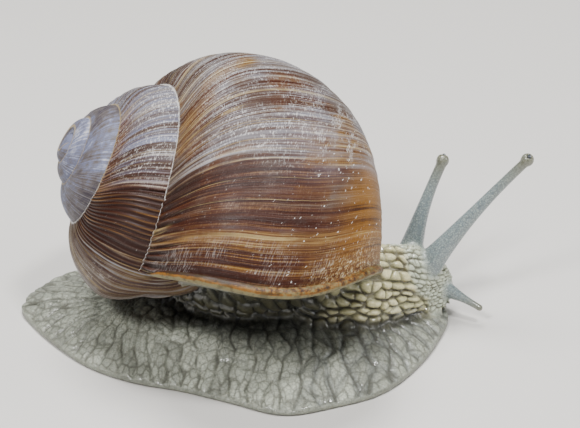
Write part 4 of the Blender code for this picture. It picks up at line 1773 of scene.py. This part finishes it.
@dataclass(frozen=True)
class SkinFinish:
    """Moist grey-beige skin: pale granules, dark grooves, blue-grey feelers with cream tips."""

    groove: Colour = ink(70, 68, 55)
    # fold is the colour of the painted shade under the shell, by the trunk and in the fold between
    # body and foot.
    fold: Colour = ink(22, 23, 21)
    stone: Colour = ink(160, 163, 149)
    pale: Colour = ink(206, 210, 192)
    sand: Colour = ink(206, 200, 148)
    cream: Colour = ink(238, 230, 180)
    bark: Colour = ink(78, 66, 44)
    flank_shade: Colour = ink(140, 141, 112)
    mist: Colour = ink(200, 212, 196)
    blue_grey: Colour = ink(112, 125, 129)
    rim: Colour = ink(106, 108, 96)
    tip: Colour = ink(108, 104, 78)
    steel: Colour = ink(134, 139, 140)
    olive: Colour = ink(84, 80, 60)

    def material(self) -> bpy.types.Material:
        """Build the material.

        Returns:
            The material.
        """
        mix = Recipe(
            "skin", 0.42, Subsurface_Weight=0.15, Subsurface_Radius=(0.0011, 0.0009, 0.0007),
            Subsurface_Scale=1.0, Coat_Roughness=0.1,
        )
        groove, tint, foot, stem, edge = mix.attributes("groove", "tint", "foot", "stem", "edge")
        shade, bead_top, beside_stem = mix.attributes("shade", "bead_top", "beside_stem")
        tip, ends, valley, margin = mix.attributes("tip", "ends", "valley", "margin")
        along, out = mix.attributes("along", "out")
        place = mix.place()
        speckle = mix.noise(place, 4200.0, 2.0, 0.6)
        warp = mix.noise(place, 900.0, 2.0) - 0.5
        lines = mix.vector(along + warp * 0.5, out - warp * 0.4)
        crack = mix.cells(lines, 1.9, borders=True).ease(0.10, 0.02) * foot
        dots = mix.cells(place, 5200.0).ease(0.6, 0.25)
        light = (tint * 0.5 + mix.noise(place, 300.0) * 0.7).ease(0.3, 0.85)
        depth = groove.ease(0.85, 0.1)

        foot_top = mix.mix(light, self.stone, self.pale)
        foot_top = mix.mix(crack * 0.28, foot_top, self.groove, Lay.STAIN)
        foot_top = mix.coats(foot_top, (valley * 0.6, self.steel), (ends * 0.4, self.rim))
        neck_top = mix.mix(light, self.sand, self.cream)
        neck_top = mix.mix(beside_stem * 0.75, neck_top, self.mist)
        feeler = mix.coats(
            mix.mix(dots * 0.3 + (speckle - 0.5) * 0.3, self.blue_grey, self.mist),
            (tip * 0.8, self.tip),
        )
        colour = mix.coats(
            mix.mix(foot, neck_top, foot_top),
            # Painted shade: the beads' flanks are darker than their tops.
            (bead_top.ease(0.97, 0.4) * 0.6, self.flank_shade),
            (depth * (0.7 + foot * 0.04), mix.mix(foot, self.bark, self.groove)),
            # Painted shade, from the shade numbers on the mesh.
            (shade * (1.85 - shade * 0.95) + depth * shade * 0.08, self.fold),
            (margin.ease(0.7, 0.1) * foot * 0.7, self.rim),
            (stem, feeler),
            (edge, self.olive),
        )
        dark_specks = mix.ramp(speckle, (0.32, (0.6,) * 3), (0.6, (1.0,) * 3))
        colour = mix.mix(0.6, colour, dark_specks, Lay.STAIN)
        mix.bump(speckle * 0.35 + dots * 0.4 - crack * 0.5, 0.07)
        wet = 1.0 - foot * (1.0 - shade) * 0.7
        return mix.finish(Base_Color=colour, Roughness=0.36 + foot * 0.1, Coat_Weight=wet)


@dataclass(frozen=True)
class EyeFinish:
    """A dark, wet bead."""

    black: Colour = ink(42, 46, 56)
    haze: Colour = ink(92, 96, 100)

    def material(self) -> bpy.types.Material:
        """Build the material.

        Returns:
            The material.
        """
        mix = Recipe("eye", 0.15, Coat_Weight=1.0)
        cloud = mix.noise(mix.place(), 1500.0)
        return mix.finish(Base_Color=mix.ramp(cloud, (0.3, self.black), (0.8, self.haze)))


@dataclass(frozen=True)
class FloorFinish:
    """A plain pale sheet."""

    pale: Colour = ink(214, 211, 206)

    def material(self) -> bpy.types.Material:
        """Build the material."""
        return Recipe("floor", 0.75, Base_Color=self.pale).material


# Studio ----------------------------------------------------------------------------------------


@dataclass(frozen=True)
class Lamp:
    """One soft square light."""

    name: str
    place: tuple[float, float, float]
    size: float
    watts: float

    def hang(self, aim: Vector) -> None:
        """Hang the light.

        Args:
            aim: The snail's middle, which it shines at.
        """
        data = bpy.data.lights.new(self.name, "AREA")
        data.shape = "SQUARE"
        data.size = self.size * MM
        data.energy = self.watts
        place_object(self.name, data, aim, Vector(self.place))


@dataclass
class Studio:
    """Plain floor, soft lights and the camera."""

    aim: Vector
    distance: float = 257.2
    elevation: float = math.radians(30)
    lens: float = 133.0
    floor_size: float = 3.0
    glow: Colour = (0.9, 0.95, 1.0)
    glow_strength: float = 0.15
    lamps: tuple[Lamp, ...] = (
        Lamp("top", (-40, 60, 420), 170, 2.1),
        Lamp("key", (-170, -260, 350), 80, 1.7),
        Lamp("side", (330, -60, 200), 160, 0.45),
        Lamp("glint", (90, -160, 380), 45, 1.2),
    )

    def floor(self) -> None:
        """Lay the floor."""
        bpy.ops.object.select_all(action="DESELECT")
        bpy.ops.mesh.primitive_plane_add(size=self.floor_size, location=(0, 0, 0))
        made = bpy.context.object
        made.name = "floor"
        made.data.materials.append(FloorFinish().material())

    def camera(self) -> None:
        """Set up the camera."""
        data = bpy.data.cameras.new("camera")
        data.lens = self.lens
        data.sensor_width = 36.0
        data.clip_start = 0.01
        data.clip_end = 20.0
        back = Vector((0, -math.cos(self.elevation), math.sin(self.elevation)))
        bpy.context.scene.camera = place_object("camera", data, self.aim, back * self.distance)

    def light(self) -> None:
        """Hang the lights."""
        for lamp in self.lamps:
            lamp.hang(self.aim)
        world = bpy.data.worlds.new("studio")
        world.use_nodes = True
        background = world.node_tree.nodes["Background"]
        background.inputs["Color"].default_value = (*self.glow, 1.0)
        background.inputs["Strength"].default_value = self.glow_strength
        bpy.context.scene.world = world


def place_object(name: str, data: bpy.types.ID, aim: Vector, offset: Vector) -> bpy.types.Object:
    """Put a lamp or camera in its place.

    Args:
        name: Its name.
        data: The lamp or camera.
        aim: What it points at.
        offset: Its place from there.

    Returns:
        The object.
    """
    made = bpy.data.objects.new(name, data)
    made.location = (aim + offset) * MM
    made.rotation_euler = offset.to_track_quat("Z", "Y").to_euler()
    bpy.context.scene.collection.objects.link(made)
    return made


def dress(piece: bpy.types.Object, surface: bpy.types.Material, slot: Slot, *nodes: str) -> None:
    """Give a piece its material, let it ride on the body and let it stand for solids.

    Args:
        piece: The piece.
        surface: Its material.
        slot: The record's slot for the piece; not used.
        *nodes: The solids.
    """
    piece.data.materials.clear()
    piece.data.materials.append(surface)
    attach(piece, "root")
    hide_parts(*nodes)
    LOG.info("%s: %d faces", piece.name, len(piece.data.polygons))


def main() -> None:
    """Build the snail and its studio, and report each piece."""
    logging.basicConfig(level=logging.INFO, format="%(name)s: %(message)s")
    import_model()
    origin = Vector((2.191, 3.851, 0.0))
    middle_height = 15.4
    studio = Studio(aim=origin + Vector((0, 0, middle_height)))
    studio.camera()

    spiral = Spiral()
    spiral = replace(spiral, apex=spiral.apex + origin)
    dress(Shell(spiral).build(), ShellFinish().material(), Slot.SHELL, "shell")
    dress(Lip(spiral).build(), LipFinish().material(), Slot.LIP, "shell_lip")
    skin = Skin(origin)
    dress(skin.build(), SkinFinish().material(), Slot.FLESH, *skin.nodes())
    eye = EyeFinish().material()
    for side in ("right", "left"):
        for slot in bpy.data.objects["eye_" + side].material_slots:
            slot.material = eye

    studio.floor()
    studio.light()
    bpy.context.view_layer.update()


if __name__ == "__main__":
    main()
